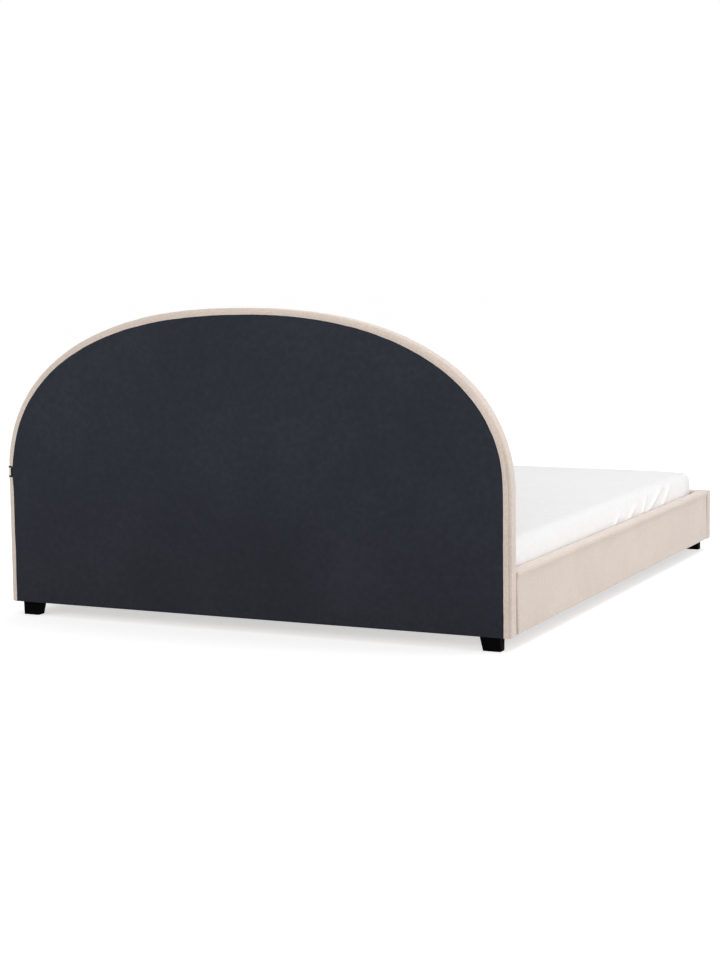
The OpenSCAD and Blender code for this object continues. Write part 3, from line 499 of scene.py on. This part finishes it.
def wood_material(name, colour, dark, along_axis, grain=0.006, roughness=0.55, layers=0.0):
    """Planed wood with its grain along an axis; layers is the pitch of ply laminations in Z."""
    material, tree, shader = tree_of(name)
    stretch = [1.0, 1.0, 1.0]
    stretch["XYZ".index(along_axis)] = GRAIN_STRETCH
    mapping = tree.nodes.new("ShaderNodeMapping")
    mapping.inputs["Scale"].default_value = stretch
    tree.links.new(place_of(tree), mapping.inputs["Vector"])
    place = mapping.outputs["Vector"]
    rings = noise_map(tree, place, scale=1 / (grain * 4), roughness=0.55)
    bands = calc(tree, "SINE", calc(tree, "MULTIPLY", rings, RING_BANDS))
    pores = noise_map(tree, place, scale=4 / grain, detail=3.0, roughness=0.7)
    tone = weighted(tree, (bands, 0.22), (pores, 1))
    if layers:
        ply = wave(tree, axes_of(tree, place_of(tree))["Z"], layers)
        tone = weighted(tree, (tone, 1), (ply, 0.12))
    grained = ramp(tree, tone, [(0.2, dark), (0.55, colour), (0.85, shade(colour, 1.1))])
    tree.links.new(grained, shader.inputs["Base Color"])
    bump(tree, shader, tone, distance=0.0003, strength=0.3)
    set_inputs(shader, {"Roughness": roughness})
    return material


def chip_board_material(name, colour, dark):
    """Pressed wood chips."""
    material, tree, shader = tree_of(name)
    place = place_of(tree)
    chips = tree.nodes.new("ShaderNodeTexVoronoi")
    chips.inputs["Scale"].default_value = 320.0
    tree.links.new(place, chips.inputs["Vector"])
    speck = noise_map(tree, place, scale=150.0, detail=3.0, roughness=0.7)
    tone = weighted(tree, (chips.outputs["Color"], 0.4), (speck, 1))
    tree.links.new(ramp(tree, tone, [(0.35, dark), (0.85, colour)]), shader.inputs["Base Color"])
    bump(tree, shader, tone, distance=0.0004, strength=0.5)
    set_inputs(shader, {"Roughness": 0.8})
    return material


def metal_material(name, colour, roughness, metallic=1.0):
    """Plated or coated steel with faint wear in its tone."""
    material, tree, shader = tree_of(name)
    place = place_of(tree)
    wear = noise_map(tree, place, scale=60.0, detail=4.0, roughness=0.65)
    tree.links.new(mottled(tree, wear, colour, spread=0.12), shader.inputs["Base Color"])
    bump(tree, shader, noise_map(tree, place, scale=900.0), distance=0.0001, strength=0.4)
    set_inputs(shader, {"Metallic": metallic, "Roughness": roughness})
    return material


def plastic_material(name, colour, roughness, gloss=0.3):
    """Moulded plastic with a fine spark-eroded grain."""
    material, tree, shader = tree_of(name)
    place = place_of(tree)
    grain = 0.0006
    pebbles = noise_map(tree, place, scale=1 / grain, roughness=0.6)
    cloud = noise_map(tree, place, scale=25.0, detail=3.0)
    tree.links.new(mottled(tree, cloud, colour, spread=0.1), shader.inputs["Base Color"])
    bump(tree, shader, pebbles, distance=0.00012, strength=0.5)
    set_inputs(shader, {"Roughness": roughness, "Specular IOR Level": gloss})
    return material


def label_material():
    """Woven tape, pale in its middle, with dark edges above and below and a dark inner end."""
    material, tree, shader = tree_of("blank_label_tape")
    place = place_of(tree)
    axes = axes_of(tree, place)
    low, high = label_low, label_high
    pale, dark = (0.81, 0.77, 0.74), (0.003, 0.003, 0.003)
    away = away_from(tree, axes["Z"], (low.z + high.z) / 2, (high.z - low.z) / 2)
    inner_end = calc(tree, "LESS_THAN", axes["X"], low.x + TAPE_END)
    away = calc(tree, "MAXIMUM", away, inner_end)
    tree.links.new(ramp(tree, away, [(0.0, pale), (0.68, pale), (0.71, dark), (1.0, dark)]),
                   shader.inputs["Base Color"])
    bump(tree, shader, thread_waves(tree, place, pitch=0.0007), distance=0.0001, strength=0.6)
    set_inputs(shader, {"Roughness": 0.8})
    return material


def zip_material():
    """White tape with a row of fine teeth along its middle."""
    material, tree, shader = tree_of("white_zip")
    axes = axes_of(tree, place_of(tree))
    tooth_pitch, teeth_reach = 0.003, 0.004
    teeth = wave(tree, calc(tree, "ADD", axes["X"], axes["Y"]), tooth_pitch)
    away = away_from(tree, axes["Z"], (zip_low.z + zip_high.z) / 2, teeth_reach)
    row = ramp(tree, away, [(0.35, (1, 1, 1)), (0.45, (0, 0, 0))])
    height = calc(tree, "MULTIPLY", teeth, row)
    tree.links.new(ramp(tree, height, [(0.0, (0.70, 0.70, 0.70)), (0.6, (0.82, 0.82, 0.82))]),
                   shader.inputs["Base Color"])
    bump(tree, shader, height, distance=0.0008, strength=0.8)
    set_inputs(shader, {"Roughness": 0.55})
    return material


BEIGE = (0.634, 0.533, 0.462)
WHITE = (0.863, 0.861, 0.861)
SOFTWOOD = (0.60, 0.42, 0.23)
SOFTWOOD_DARK = (0.44, 0.28, 0.14)
# Painted shade: the mattress top is kept darker than its sides.
MATTRESS_TOP_PAINTED_SHADE = 0.885                      # share of its lightness that the mattress keeps on its top

upholstery = cloth_material("beige_upholstery", BEIGE, thread=0.0012, slub=0.006, spread=0.09, sheen=0.5)
# Its heights paint shade on the mattress: the top is darkened from just inside the top edge's rounding.
mattress_cloth = cloth_material(
    "white_mattress_cover", WHITE, thread=0.0018, slub=0.02, spread=0.02, sheen=0.1, relief=0.0003,
    heights=((mattress_top - 0.045, 1.0), (mattress_top - 0.035, 1.0), (mattress_top - 0.008, MATTRESS_TOP_PAINTED_SHADE),
             (mattress_top, MATTRESS_TOP_PAINTED_SHADE)))
dust_cloth = dust_cloth_material()
softwood_up = wood_material("softwood_upright", SOFTWOOD, SOFTWOOD_DARK, "Z")
softwood_across = wood_material("softwood_across", SOFTWOOD, SOFTWOOD_DARK, "X")
softwood_along = wood_material("softwood_along", SOFTWOOD, SOFTWOOD_DARK, "Y")
slat_ply = wood_material("beech_ply", (0.68, 0.50, 0.30), (0.55, 0.37, 0.20), "X", grain=0.005,
                         roughness=0.4, layers=0.0016)
hardboard = chip_board_material("hardboard", (0.20, 0.11, 0.06), (0.12, 0.06, 0.03))
chip_board = chip_board_material("chip_board", (0.52, 0.38, 0.22), (0.32, 0.21, 0.11))
zinc = metal_material("zinc_plate", (0.60, 0.61, 0.63), roughness=0.35)
staple_wire = metal_material("dark_staple_wire", (0.045, 0.047, 0.052), roughness=0.6)
black_coat = metal_material("black_powder_coat", (0.022, 0.022, 0.024), roughness=0.5, metallic=0.0)
foot_plastic = plastic_material("black_foot_plastic", (0.0008, 0.0008, 0.0009), roughness=0.75, gloss=0.03)
cap_plastic = plastic_material("black_cap_plastic", (0.020, 0.020, 0.021), roughness=0.5)
label_tape = label_material()
zip_tape = zip_material()


def paint(material, *names):
    """Gives CAD nodes a material."""
    for name in names:
        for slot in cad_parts[name].material_slots:
            slot.material = material


paint(softwood_up, "headboard_left_post", "headboard_right_post", "headboard_lower_centre_post",
      "headboard_upper_centre_post")
paint(softwood_across, "headboard_bottom_rail", "headboard_middle_rail", "headboard_arch_ribs")
paint(softwood_along, "left_ledge", "right_ledge")
paint(hardboard, "headboard_front_board")
paint(chip_board, "left_rail_board", "right_rail_board", "foot_rail_board")
paint(slat_ply, "left_slats", "right_slats")
paint(cap_plastic, "left_slat_caps", "right_slat_caps", "centre_slat_caps", "leg_plugs",
      "head_leveller", "foot_leveller")
paint(foot_plastic, "rear_left_foot", "rear_right_foot", "front_left_foot", "front_right_foot")
paint(black_coat, "head_left_bracket", "head_right_bracket", "foot_left_bracket",
      "foot_right_bracket", "centre_beam", "head_beam_hanger", "foot_beam_hanger",
      "head_centre_leg", "foot_centre_leg")
paint(zinc, "foot_screws", "ledge_screws", "head_bolts", "rail_bolts", "bolt_washers",
      "insert_nuts", "hanger_screws", "beam_screws", "lock_nuts")
paint(staple_wire, "back_cloth_staples")


def dress(piece, material, slot, body, *nodes):
    """Gives a new piece its material, hangs it under its body's empty, and hides the CAD nodes that it
    stands for.
    """
    piece.data.materials.append(material)
    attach(piece, body)
    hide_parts(*nodes)
    return piece


# Headboard


def arch_point(turn, out):
    """Point (x, z) of the arch at an angle in degrees, moved outwards by out."""
    c, s = math.cos(math.radians(turn)), math.sin(math.radians(turn))
    c = 0.0 if abs(c) < TINY else c
    s = max(s, 0.0)
    side = math.copysign(1.0, c)
    x = EDGE_X * side * abs(c) ** (2 / ARCH_POWER)
    z = SPRING_Z + ARCH_RISE * s ** (2 / ARCH_POWER)
    normal = Vector((side * abs(c) ** (2 - 2 / ARCH_POWER) / EDGE_X,
                     s ** (2 - 2 / ARCH_POWER) / ARCH_RISE)).normalized()
    return x + out * normal.x, z + out * normal.y


def arch_line(out, low):
    """Open outline from the lower corner at +X over the arch to the one at -X."""
    up = [(EDGE_X + out, low + (SPRING_Z - low) * i / SIDE_STEPS) for i in range(SIDE_STEPS)]
    arch = [arch_point(180 * i / ARCH_STEPS, out) for i in range(ARCH_STEPS + 1)]
    return up + arch + [(-x, z) for x, z in reversed(up)]


def arch_ring(out, low):
    """The same outline closed along the bottom."""
    half = EDGE_X + out
    floor = [(-half + 2 * half * i / FLOOR_STEPS, low) for i in range(1, FLOOR_STEPS)]
    return arch_line(out, low) + floor


def at_depth(ring, depth):
    """Points in space for a ring of (x, z) at a depth, or at a depth worked out for each point."""
    return [Vector((x, BACK_Y - (depth(x, z) if callable(depth) else depth), z)) for x, z in ring]


def facing(point):
    """Direction in which the outline faces at a point: sideways, and outwards along the arch."""
    return Vector((point.x, 0, max(point.z - SPRING_Z, 0.0))).normalized()


def wrap_point(turn, raised=0.0):
    """Out and depth of the cloth where it turns round the back edge, turn degrees into the turn."""
    a = math.radians(turn)
    r = WRAP_R + raised
    return WRAP_FLAT + r * math.sin(a), WRAP_FACE + WRAP_R - r * math.cos(a)


def creased(line, section):
    """Rings of a section along the arch; its crease is deep beside the rails and fades over the arch."""
    plain, deep = ([at_depth(line(out, BASE_Z), depth) for out, depth in section(crease)]
                   for crease in (0, CREASE_DEEP))
    fade_low, fade_high = (SPRING_Z + rise for rise in FADE_RISE)
    rings = []
    for plain_ring, deep_ring in zip(plain, deep):
        rings.append([a.lerp(b, 1 - CREASE_FADE * smooth_step(fade_low, fade_high, a.z))
                      for a, b in zip(plain_ring, deep_ring)])
    return rings


def pad_section(crease):
    """Out and depth of the points over the roll, from under the strip to the front."""
    widest = HEAD_DEPTH - ROLL_R
    section = [(0.0014, 0.0080), (0.0060, 0.0052)]
    for i in range(WRAP_STEPS + 1):
        past = (90 - STRIP_TURN) * i / WRAP_STEPS
        section.append(wrap_point(STRIP_TURN + past, -crease * (1 - smooth_step(*CREASE_RISE, past))))
    section += [(ROLL_OUT, WRAP_R + (widest - WRAP_R) * share) for share in (0.35, 0.7)]
    return section + arc(ROLL_OUT - ROLL_R, widest, ROLL_R, 0, 90, ROLL_STEPS)


def puckered(point, share):
    """The cloth over the roll, with faint gathers that fade towards the front."""
    flat = (point.x, 0, point.z)
    gather = lump(flat, height=0.0006, size=0.035, seed=3.0)
    sag = lump(flat, height=0.0008, size=0.16, seed=5.0)
    centre = Vector((point.x * PUCKER_X, BACK_Y - HEAD_DEPTH + ROLL_R, point.z * PUCKER_Z))
    return point + (point - centre).normalized() * ((gather + sag) * math.sin(math.pi * share))


def swollen(point, share):
    """The front of the pad: flat where the rails meet it, and swelling above them."""
    above = smooth_step(side_high.z + PAD_FLAT, SPRING_Z, point.z)
    swell = PAD_SWELL * smooth_step(0.0, PAD_REACH, share)
    slack = smooth_step(*SLACK_REACH, share) * lump(point, height=0.0012, size=0.22, seed=9.0)
    return point - Vector((0, above * (swell + slack), 0))


def headboard_pad():
    """Roll round the edge and swelling front in one padded form, hollow where the timber is."""
    centre = (0.0, SPRING_Z)
    timber = arch_ring(TIMBER_GAP, TIMBER_Z)
    rings = [at_depth(drawn_in(timber, centre, 1.0), BOARD_DEPTH), at_depth(timber, BOARD_DEPTH),
             at_depth(timber, HOLLOW_DEPTH)]
    roll = creased(arch_ring, pad_section)
    rings += [[puckered(p, i / (len(roll) - 1)) for p in ring] for i, ring in enumerate(roll)]
    inner = arch_ring(ROLL_OUT - ROLL_R, BASE_Z)
    for i in range(1, PAD_ROWS + 1):
        share = (i / PAD_ROWS) ** PAD_SPACING
        rings.append([swollen(p, share) for p in at_depth(drawn_in(inner, centre, share), HEAD_DEPTH)])
    piece = lofted("headboard_padding", rings)
    return dress(piece, upholstery, "upholstery", "frame", "headboard_cover", "headboard_foam")


def cloth_shift(x, z):
    """How much further out the dark cloth runs over the edge, most at the shoulder on the -X side."""
    shift = SHOULDER_SHIFT * smooth_step(*SHOULDER_SIDE, -x) * smooth_step(0, SHOULDER_RISE, z - SPRING_Z)
    if x > 0:
        shift += LABEL_SHIFT * hump(z - (label_low.z + label_high.z) / 2, LABEL_REACH)
    shift += lump((x, 0, z), height=0.0007, size=0.07, seed=2.0)
    return shift + lump((x, 0, z), height=0.0005, size=0.022, seed=6.0)


def strip_section(crease):
    """Out and depth of the points across the strip, from under the dark cloth to its crease and back in."""
    profile = [(0.0008, 0.0042), (0.0003, 0.0022), (-0.0010, 0.0009), (-0.0011, 0.0007),
               (-0.0006, 0.00045), (0.0006, WRAP_FACE), (0.0036, WRAP_FACE)]
    for i in range(STRIP_STEPS + 1):
        share = i / STRIP_STEPS
        profile.append(wrap_point(STRIP_TURN * share, -STRIP_DRAW * crease * share ** STRIP_POWER))
    out, depth = profile[-1]
    return profile + [(out - 0.0001, depth + 0.0006), (out - 0.0014, depth + 0.0016)]


def rear_strip():
    """Turned-in hem of the upholstery round the back edge, meeting the dark cloth and the pad."""
    stations = []
    for station in zip(*creased(arch_line, strip_section)):
        tip = station[-1]
        shift = facing(tip) * cloth_shift(tip.x, tip.z)
        follow = [1] * 6 + [0.5] + [0] * (len(station) - 7)
        stations.append([point + shift * share for point, share in zip(station, follow)])
    middles = [sum(station, Vector()) / len(station) for station in (stations[0], stations[-1])]
    piece = lofted("headboard_back_strip", capped(stations, middles))
    return dress(piece, upholstery, "upholstery", "frame", "headboard_rear_hem")


def timber_distance(x, z):
    """How far a point on the back lies from the nearest timber behind the cloth."""
    gaps = []
    for low, high in TIMBERS:
        aside = max(low.x - x, x - high.x, 0.0)
        above = max(low.z - z, z - high.z, 0.0)
        gaps.append(math.hypot(aside, above))
    if z > SPRING_Z:
        across, up = abs(x) / EDGE_X, (z - SPRING_Z) / ARCH_RISE
        share = (across ** ARCH_POWER + up ** ARCH_POWER) ** (1 / ARCH_POWER)
        gaps.append(max((1 - share) * ARCH_RISE - RIB_W, 0.0))
    return min(gaps)


def cloth_depth(x, z):
    """Depth of the dark cloth inside its hem: close to the timbers, and slack between them."""
    free = smooth_step(0.0, SAG_REACH, timber_distance(x, z))
    ripple = lump((x, 0, z), height=0.00012, size=0.10, seed=8.0)
    slack = CLOTH_SAG + lump((x, 0, z), height=0.0012, size=0.22, seed=4.0)
    return CLOTH_DEPTH + ripple + free * slack


def back_cloth():
    """Dark cloth stretched over the back, with a turned-in hem and a little slack between timbers."""
    hem = [(0.0, 0.0014), (-0.0018, 0.0013), (-0.0032, 0.0009), (-0.0055, 0.0005), (-0.0080, 0.0004),
           (0.0015 - HEM_W, 0.0007), (-HEM_W, 0.0010), (-HEM_W - 0.0015, CLOTH_DEPTH),
           (-HEM_END, CLOTH_DEPTH)]
    rings = []
    for i, (out, depth) in enumerate(hem):
        share = 1 - i / (len(hem) - 1)
        rings.append([point + facing(point) * cloth_shift(point.x, point.z) * share
                      for point in at_depth(arch_ring(out, BASE_Z - out), depth)])
    inner = arch_ring(-HEM_END, BASE_Z + HEM_END)
    for i in range(1, CLOTH_ROWS + 1):
        rings.append(at_depth(drawn_in(inner, (0.0, SPRING_Z), i / CLOTH_ROWS), cloth_depth))
    piece = thickened(lofted("headboard_dust_cloth", rings), CLOTH_THICK, 0.0)
    dress(piece, dust_cloth, "dust_cloth", "frame", "headboard_back_cloth")
    return piece


def edge_label():
    """Folded tape over the back strip at one side, left blank."""
    low, high = label_low, label_high
    path = [(low.x, WRAP_FACE - 0.0001), (low.x + 0.003, WRAP_FACE - 0.0002)]
    for i in range(TAPE_STEPS + 1):
        out, depth = wrap_point(TAPE_TURN * i / TAPE_STEPS, TAPE_LIFT)
        path.append((EDGE_X + out, depth))
    rings = []
    for i in range(TAPE_ROWS + 1):
        z = low.z + (high.z - low.z) * i / TAPE_ROWS
        bend = TAPE_BEND * math.sin(2 * math.pi * TAPE_WAVES * i / TAPE_ROWS)
        rings.append([Vector((x + bend, BACK_Y - depth, z)) for x, depth in path])
    piece = thickened(lofted("blank_edge_label", rings, closed=False, crease=60), TAPE_THICK, 1.0)
    return dress(piece, label_tape, "label", "frame", "blank_label")


# Rails


def foam_dip(height, run):
    """How far the outer face lies behind the rail's widest line: most just under the top."""
    below = RAIL_H - height
    dip = DIP_DEEP * smooth_step(*DIP_START, below) * (1 - DIP_FADE * smooth_step(*DIP_END, below))
    dip += lump((0, run, height), height=0.0006, size=0.16, seed=6.0)
    return dip + lump((0, run, height), height=0.0004, size=0.05, seed=2.0)


def rail_runs(start, end, end_runs):
    """Places along a rail: end_runs counted from either end, and even steps between them."""
    radius = end_runs[-1]
    length = end - start
    steps = round(length / RAIL_STEP)
    runs = [start + run for run in end_runs[:-1]]
    runs += [start + radius + (length - 2 * radius) * i / steps for i in range(steps + 1)]
    return runs + [end - run for run in reversed(end_runs[:-1])]


def rail_outline(inset):
    """Section of a rail as (across, height), with across counted outwards from the mattress."""
    return along(soft_box(RAIL_T, RAIL_H, LOW_R, TOP_R, inset), RAIL_COLUMNS)


def padded_rail(name, rings, middles, *nodes):
    """The piece of a rail that is laid through rings and closed at its ends."""
    piece = lofted(name, capped(rings, middles), crease=50)
    return dress(piece, upholstery, "upholstery", "frame", *nodes)


def side_rail(name, side, *nodes):
    """Padded rail: soft top, a dip under it on the outer face, and rounded ends."""
    start, end = side_low.y, side_high.y
    rings = []
    for run in rail_runs(start, end, END_RUNS):
        inset = rounding(END_R, min(run - start, end - run))
        ring = []
        for across, height in rail_outline(inset):
            outer = smooth_step(RAIL_T * 0.5, RAIL_T, across)
            x = side_low.x + across - outer * foam_dip(height, run)
            ring.append(Vector((side * x, run, side_low.z + height)))
        rings.append(ring)
    middles = [Vector((side * (side_low.x + RAIL_T / 2), run, side_low.z + RAIL_H / 2))
               for run in (start, end)]
    return padded_rail(name, rings, middles, *nodes)


def foot_rail():
    """The rail across the foot end, closed at both ends, with rounded outer upright corners."""
    corner_runs = [CORNER_R - point[0] for point in arc(0, 0, CORNER_R, 0, 90, CORNER_STEPS)]
    rings = []
    for run in rail_runs(-SIDE_X, SIDE_X, corner_runs):
        near = SIDE_X - abs(run)
        corner, inset = rounding(CORNER_R, near), rounding(END_R, near)
        ring = []
        for across, height in rail_outline(inset):
            outer = across / RAIL_T
            dip = smooth_step(0.5, 1.0, outer) * foam_dip(height, run) * smooth_step(0, CORNER_R, near)
            y = foot_high.y - across + outer * max(corner - inset, 0.0) + dip
            ring.append(Vector((run, y, foot_low.z + height)))
        rings.append(ring)
    middles = [Vector((end, foot_high.y - RAIL_T / 2, foot_low.z + RAIL_H / 2))
               for end in (-SIDE_X, SIDE_X)]
    return padded_rail("foot_rail_padding", rings, middles, "foot_rail_cover", "foot_rail_foam")


# Mattress


def mattress_outline(inset):
    """The mattress seen from above, with rounded corners, drawn in by inset."""
    r = max(MATTRESS_CORNER - inset, TIGHTEST_CORNER)
    w, l = MATTRESS_W - 2 * inset, MATTRESS_L - 2 * inset
    line = along(soft_box(w, l, r, r), MATTRESS_COLUMNS)
    return [(x - w / 2, y - l / 2 + MATTRESS_MID.y) for x, y in line]


def fold_height(y, z):
    """Height of the pull folds that slant up the sides towards the foot corners."""
    total = 0.0
    for low, high in FOLDS:
        run_y, run_z = high[0] - low[0], high[1] - low[1]
        length = math.hypot(run_y, run_z)
        ahead = ((y - low[0]) * run_y + (z - low[1]) * run_z) / length
        aside = ((y - low[0]) * run_z - (z - low[1]) * run_y) / length
        fade = smooth_step(*FOLD_START, ahead) * (1 - smooth_step(*FOLD_END, ahead - length))
        total += FOLD_HIGH * fade * hump(aside, FOLD_W)
    return total


def edge_rise(x, y):
    """The edges and the middle stand higher than the corners."""
    across, on = abs(x) / (MATTRESS_W / 2), abs(y - MATTRESS_MID.y) / (MATTRESS_L / 2)
    return EDGE_RISE * (1 - min(across * on, 1.0) ** 6)


def zip_draw(height):
    """How far the zip draws the sides in: a narrow groove in a wide, shallow one."""
    away = height - ZIP_HEIGHT
    return sum(depth * hump(away, width) for depth, width in ZIP_DRAWS)


def mattress_side(inset, height):
    """One ring of the side: swelling between the rails, with pull folds above them."""
    full = smooth_step(*SWELL_START, height) * (1 - smooth_step(*SWELL_END, height))
    ring = []
    for x, y in mattress_outline(inset):
        beside = 1 - smooth_step(*SIDE_REACH, MATTRESS_W / 2 - abs(x))
        beside *= smooth_step(*END_REACH, MATTRESS_L / 2 - abs(y - MATTRESS_MID.y))
        foot_end = 1 - smooth_step(*FOOT_REACH, y - mattress_low.y)
        soft = smooth_step(*SWELL_START, height) * lump((x, y, height), height=0.0015, size=0.18, seed=7.0)
        lifted = (height / MATTRESS_H) ** 2 * edge_rise(x, y)
        z = mattress_low.z + height + lifted + SOFT_UP * soft
        shift = beside * (FULL_SIDE * full + fold_height(y, z)) + SOFT_OUT * soft - SIDE_INSET
        if z < side_high.z:
            shift = min(shift, FULL_SIDE + LEAN_ROOM)
        ring.append(Vector((x + math.copysign(shift, x), y - FULL_END * foot_end * full, z)))
    return ring


def top_point(x, y, share):
    """A point of the top, a share of the way from its edge to its crowned middle."""
    crown = edge_rise(x, y) + (CROWN - EDGE_RISE) * smooth_step(0.0, CROWN_REACH, share)
    soft = lump((x, y, 0), height=0.0016, size=0.30, seed=1.0) * smooth_step(0.0, 0.1, share)
    return Vector((x, y, mattress_low.z + RIM + crown + min(soft, BUMP_ROOM)))


def mattress():
    """The mattress in its cover: crowned, drawn in at the zip, with folds pulled from its corners."""
    side = RIM - TOP_EDGE - LOW_EDGE
    heights = [LOW_EDGE + side * i / SIDE_ROWS for i in range(1, SIDE_ROWS)]
    profile = arc(LOW_EDGE, LOW_EDGE, LOW_EDGE, 270, 180, LOW_EDGE_ROWS)
    profile += [(zip_draw(height), height) for height in heights]
    profile += arc(TOP_EDGE, RIM - TOP_EDGE, TOP_EDGE, 180, 90, TOP_EDGE_ROWS)
    rings = [mattress_side(inset, height) for inset, height in profile]
    foot, edge = ([(point.x, point.y) for point in ring] for ring in (rings[0], rings[-1]))
    middle = (MATTRESS_MID.x, MATTRESS_MID.y)
    under = [[Vector((x, y, mattress_low.z)) for x, y in drawn_in(foot, middle, share)]
             for share in (1.0, 0.6, 0.3)]
    for i in range(1, TOP_ROWS + 1):
        share = (i / TOP_ROWS) ** TOP_SPACING
        rings.append([top_point(x, y, share) for x, y in drawn_in(edge, middle, share)])
    piece = lofted("mattress_cover", under + rings, crease=60)
    return dress(piece, mattress_cloth, "mattress_fabric", "mattress", "mattress_core",
                           "mattress_top_cover", "mattress_base_cover")


def zip_band():
    """The zip that closes the cover all round, lying in the draw of its sides."""
    lie = zip_draw(ZIP_HEIGHT + ZIP_HALF)
    rings = [mattress_side(lie + sunk, ZIP_HEIGHT + ZIP_HALF * share) for sunk, share in ZIP_SECTION]
    piece = lofted("mattress_zip_band", rings + rings[:1])
    return dress(piece, zip_tape, "zip_tape", "mattress", "mattress_zip")


headboard_pad()
rear_strip()
back_cloth()
edge_label()
side_rail("left_rail_padding", -1, "left_rail_cover", "left_rail_foam")
side_rail("right_rail_padding", 1, "right_rail_cover", "right_rail_foam")
foot_rail()
mattress()
zip_band()

# Camera and studio
CAMERA_PLACE = Vector((-2.8435, BACK_Y + 5.1765, 1.1519))
CAMERA_TURN = -0.4425                 # radians to the side of the bed's length
CAMERA_DIP = 0.116                    # radians below level
CAMERA_ROLL = -0.0125
CAMERA_LENS = 73.69
CAMERA_REACH = 100
SENSOR_W = 36
FLOOR_GREY = (0.70, 0.70, 0.70, 1)
FLOOR_GLOW = 0.56
FLOOR_SIZE = 40
WORLD_GREY = (0.62, 0.62, 0.625, 1)
PURE_WHITE = (1, 1, 1, 1)


def photo_camera():
    """The camera at the photograph's place, found from the bed's own lines."""
    ahead = Vector((-math.sin(CAMERA_TURN) * math.cos(CAMERA_DIP),
                    -math.cos(CAMERA_TURN) * math.cos(CAMERA_DIP), -math.sin(CAMERA_DIP)))
    right = Vector((-math.cos(CAMERA_TURN), math.sin(CAMERA_TURN), 0))
    up = right.cross(ahead)
    c, s = math.cos(CAMERA_ROLL), math.sin(CAMERA_ROLL)
    right, up = c * right + s * up, c * up - s * right
    data = bpy.data.cameras.new("photo_camera")
    data.lens = CAMERA_LENS
    data.sensor_width = SENSOR_W
    data.sensor_fit = "AUTO"
    data.clip_end = CAMERA_REACH
    camera = in_scene("photo_camera", data)
    turned = Matrix((right, up, -ahead)).transposed().to_4x4()
    camera.matrix_world = Matrix.Translation(CAMERA_PLACE) @ turned
    bpy.context.scene.camera = camera


def seen_by(tree):
    """1 for rays from the camera, in reflections and through clear things, and 0 for light."""
    path = tree.nodes.new("ShaderNodeLightPath")
    first = calc(tree, "MAXIMUM", path.outputs["Is Camera Ray"], path.outputs["Is Glossy Ray"])
    return calc(tree, "MAXIMUM", first, path.outputs["Is Transmission Ray"])


def studio_floor():
    """Pale floor that keeps the bed's shadow and meets the white background."""
    material, tree, shader = tree_of("studio_floor")
    set_inputs(shader, {"Base Color": FLOOR_GREY, "Roughness": 0.9, "Specular IOR Level": 0.0,
                        "Emission Color": PURE_WHITE})
    glow = calc(tree, "MULTIPLY", seen_by(tree), FLOOR_GLOW)
    tree.links.new(glow, shader.inputs["Emission Strength"])
    bm = bmesh.new()
    bmesh.ops.create_grid(bm, x_segments=1, y_segments=1, size=FLOOR_SIZE)
    floor = in_scene("studio_floor", mesh_of(bm, "studio_floor"))
    floor.data.materials.append(material)


def studio_world():
    """White to the eye, and light grey as a source of light."""
    world = bpy.data.worlds.new("studio")
    world.use_nodes = True
    tree = world.node_tree
    mix = mix_node(tree)
    set_inputs(mix, {"A": WORLD_GREY, "B": PURE_WHITE})
    tree.links.new(seen_by(tree), mix.inputs["Factor"])
    tree.links.new(mix.outputs["Result"], tree.nodes["Background"].inputs["Color"])
    bpy.context.scene.world = world


def lamp(name, place, target, size, power):
    """A round soft light at a place, turned to a target."""
    data = bpy.data.lights.new(name, "AREA")
    data.shape = "DISK"
    data.size = size
    data.energy = power
    light = in_scene(name, data)
    light.location = place
    light.rotation_mode = "QUATERNION"
    light.rotation_quaternion = (Vector(target) - Vector(place)).to_track_quat("-Z", "Y")


photo_camera()
studio_floor()
studio_world()
lamp("left_light", place=(3.6, 5.0, 2.2), target=(0, 1.0, 0.5), size=2.0, power=61)
lamp("right_light", place=(-5.5, -0.2, 1.7), target=(0, 0.2, 0.3), size=3.0, power=50)
lamp("top_light", place=(-1.6, -0.4, 4.0), target=(0, 0, 0.2), size=2.5, power=68)
lamp("rear_light", place=(-2.5, 6.0, 1.6), target=(-0.5, 1.0, 0.5), size=2.0, power=64)
lamp("front_light", place=(1.5, -6.0, 2.5), target=(0, -0.5, 0.4), size=3.0, power=18)
bpy.context.scene.view_settings.view_transform = "Standard"
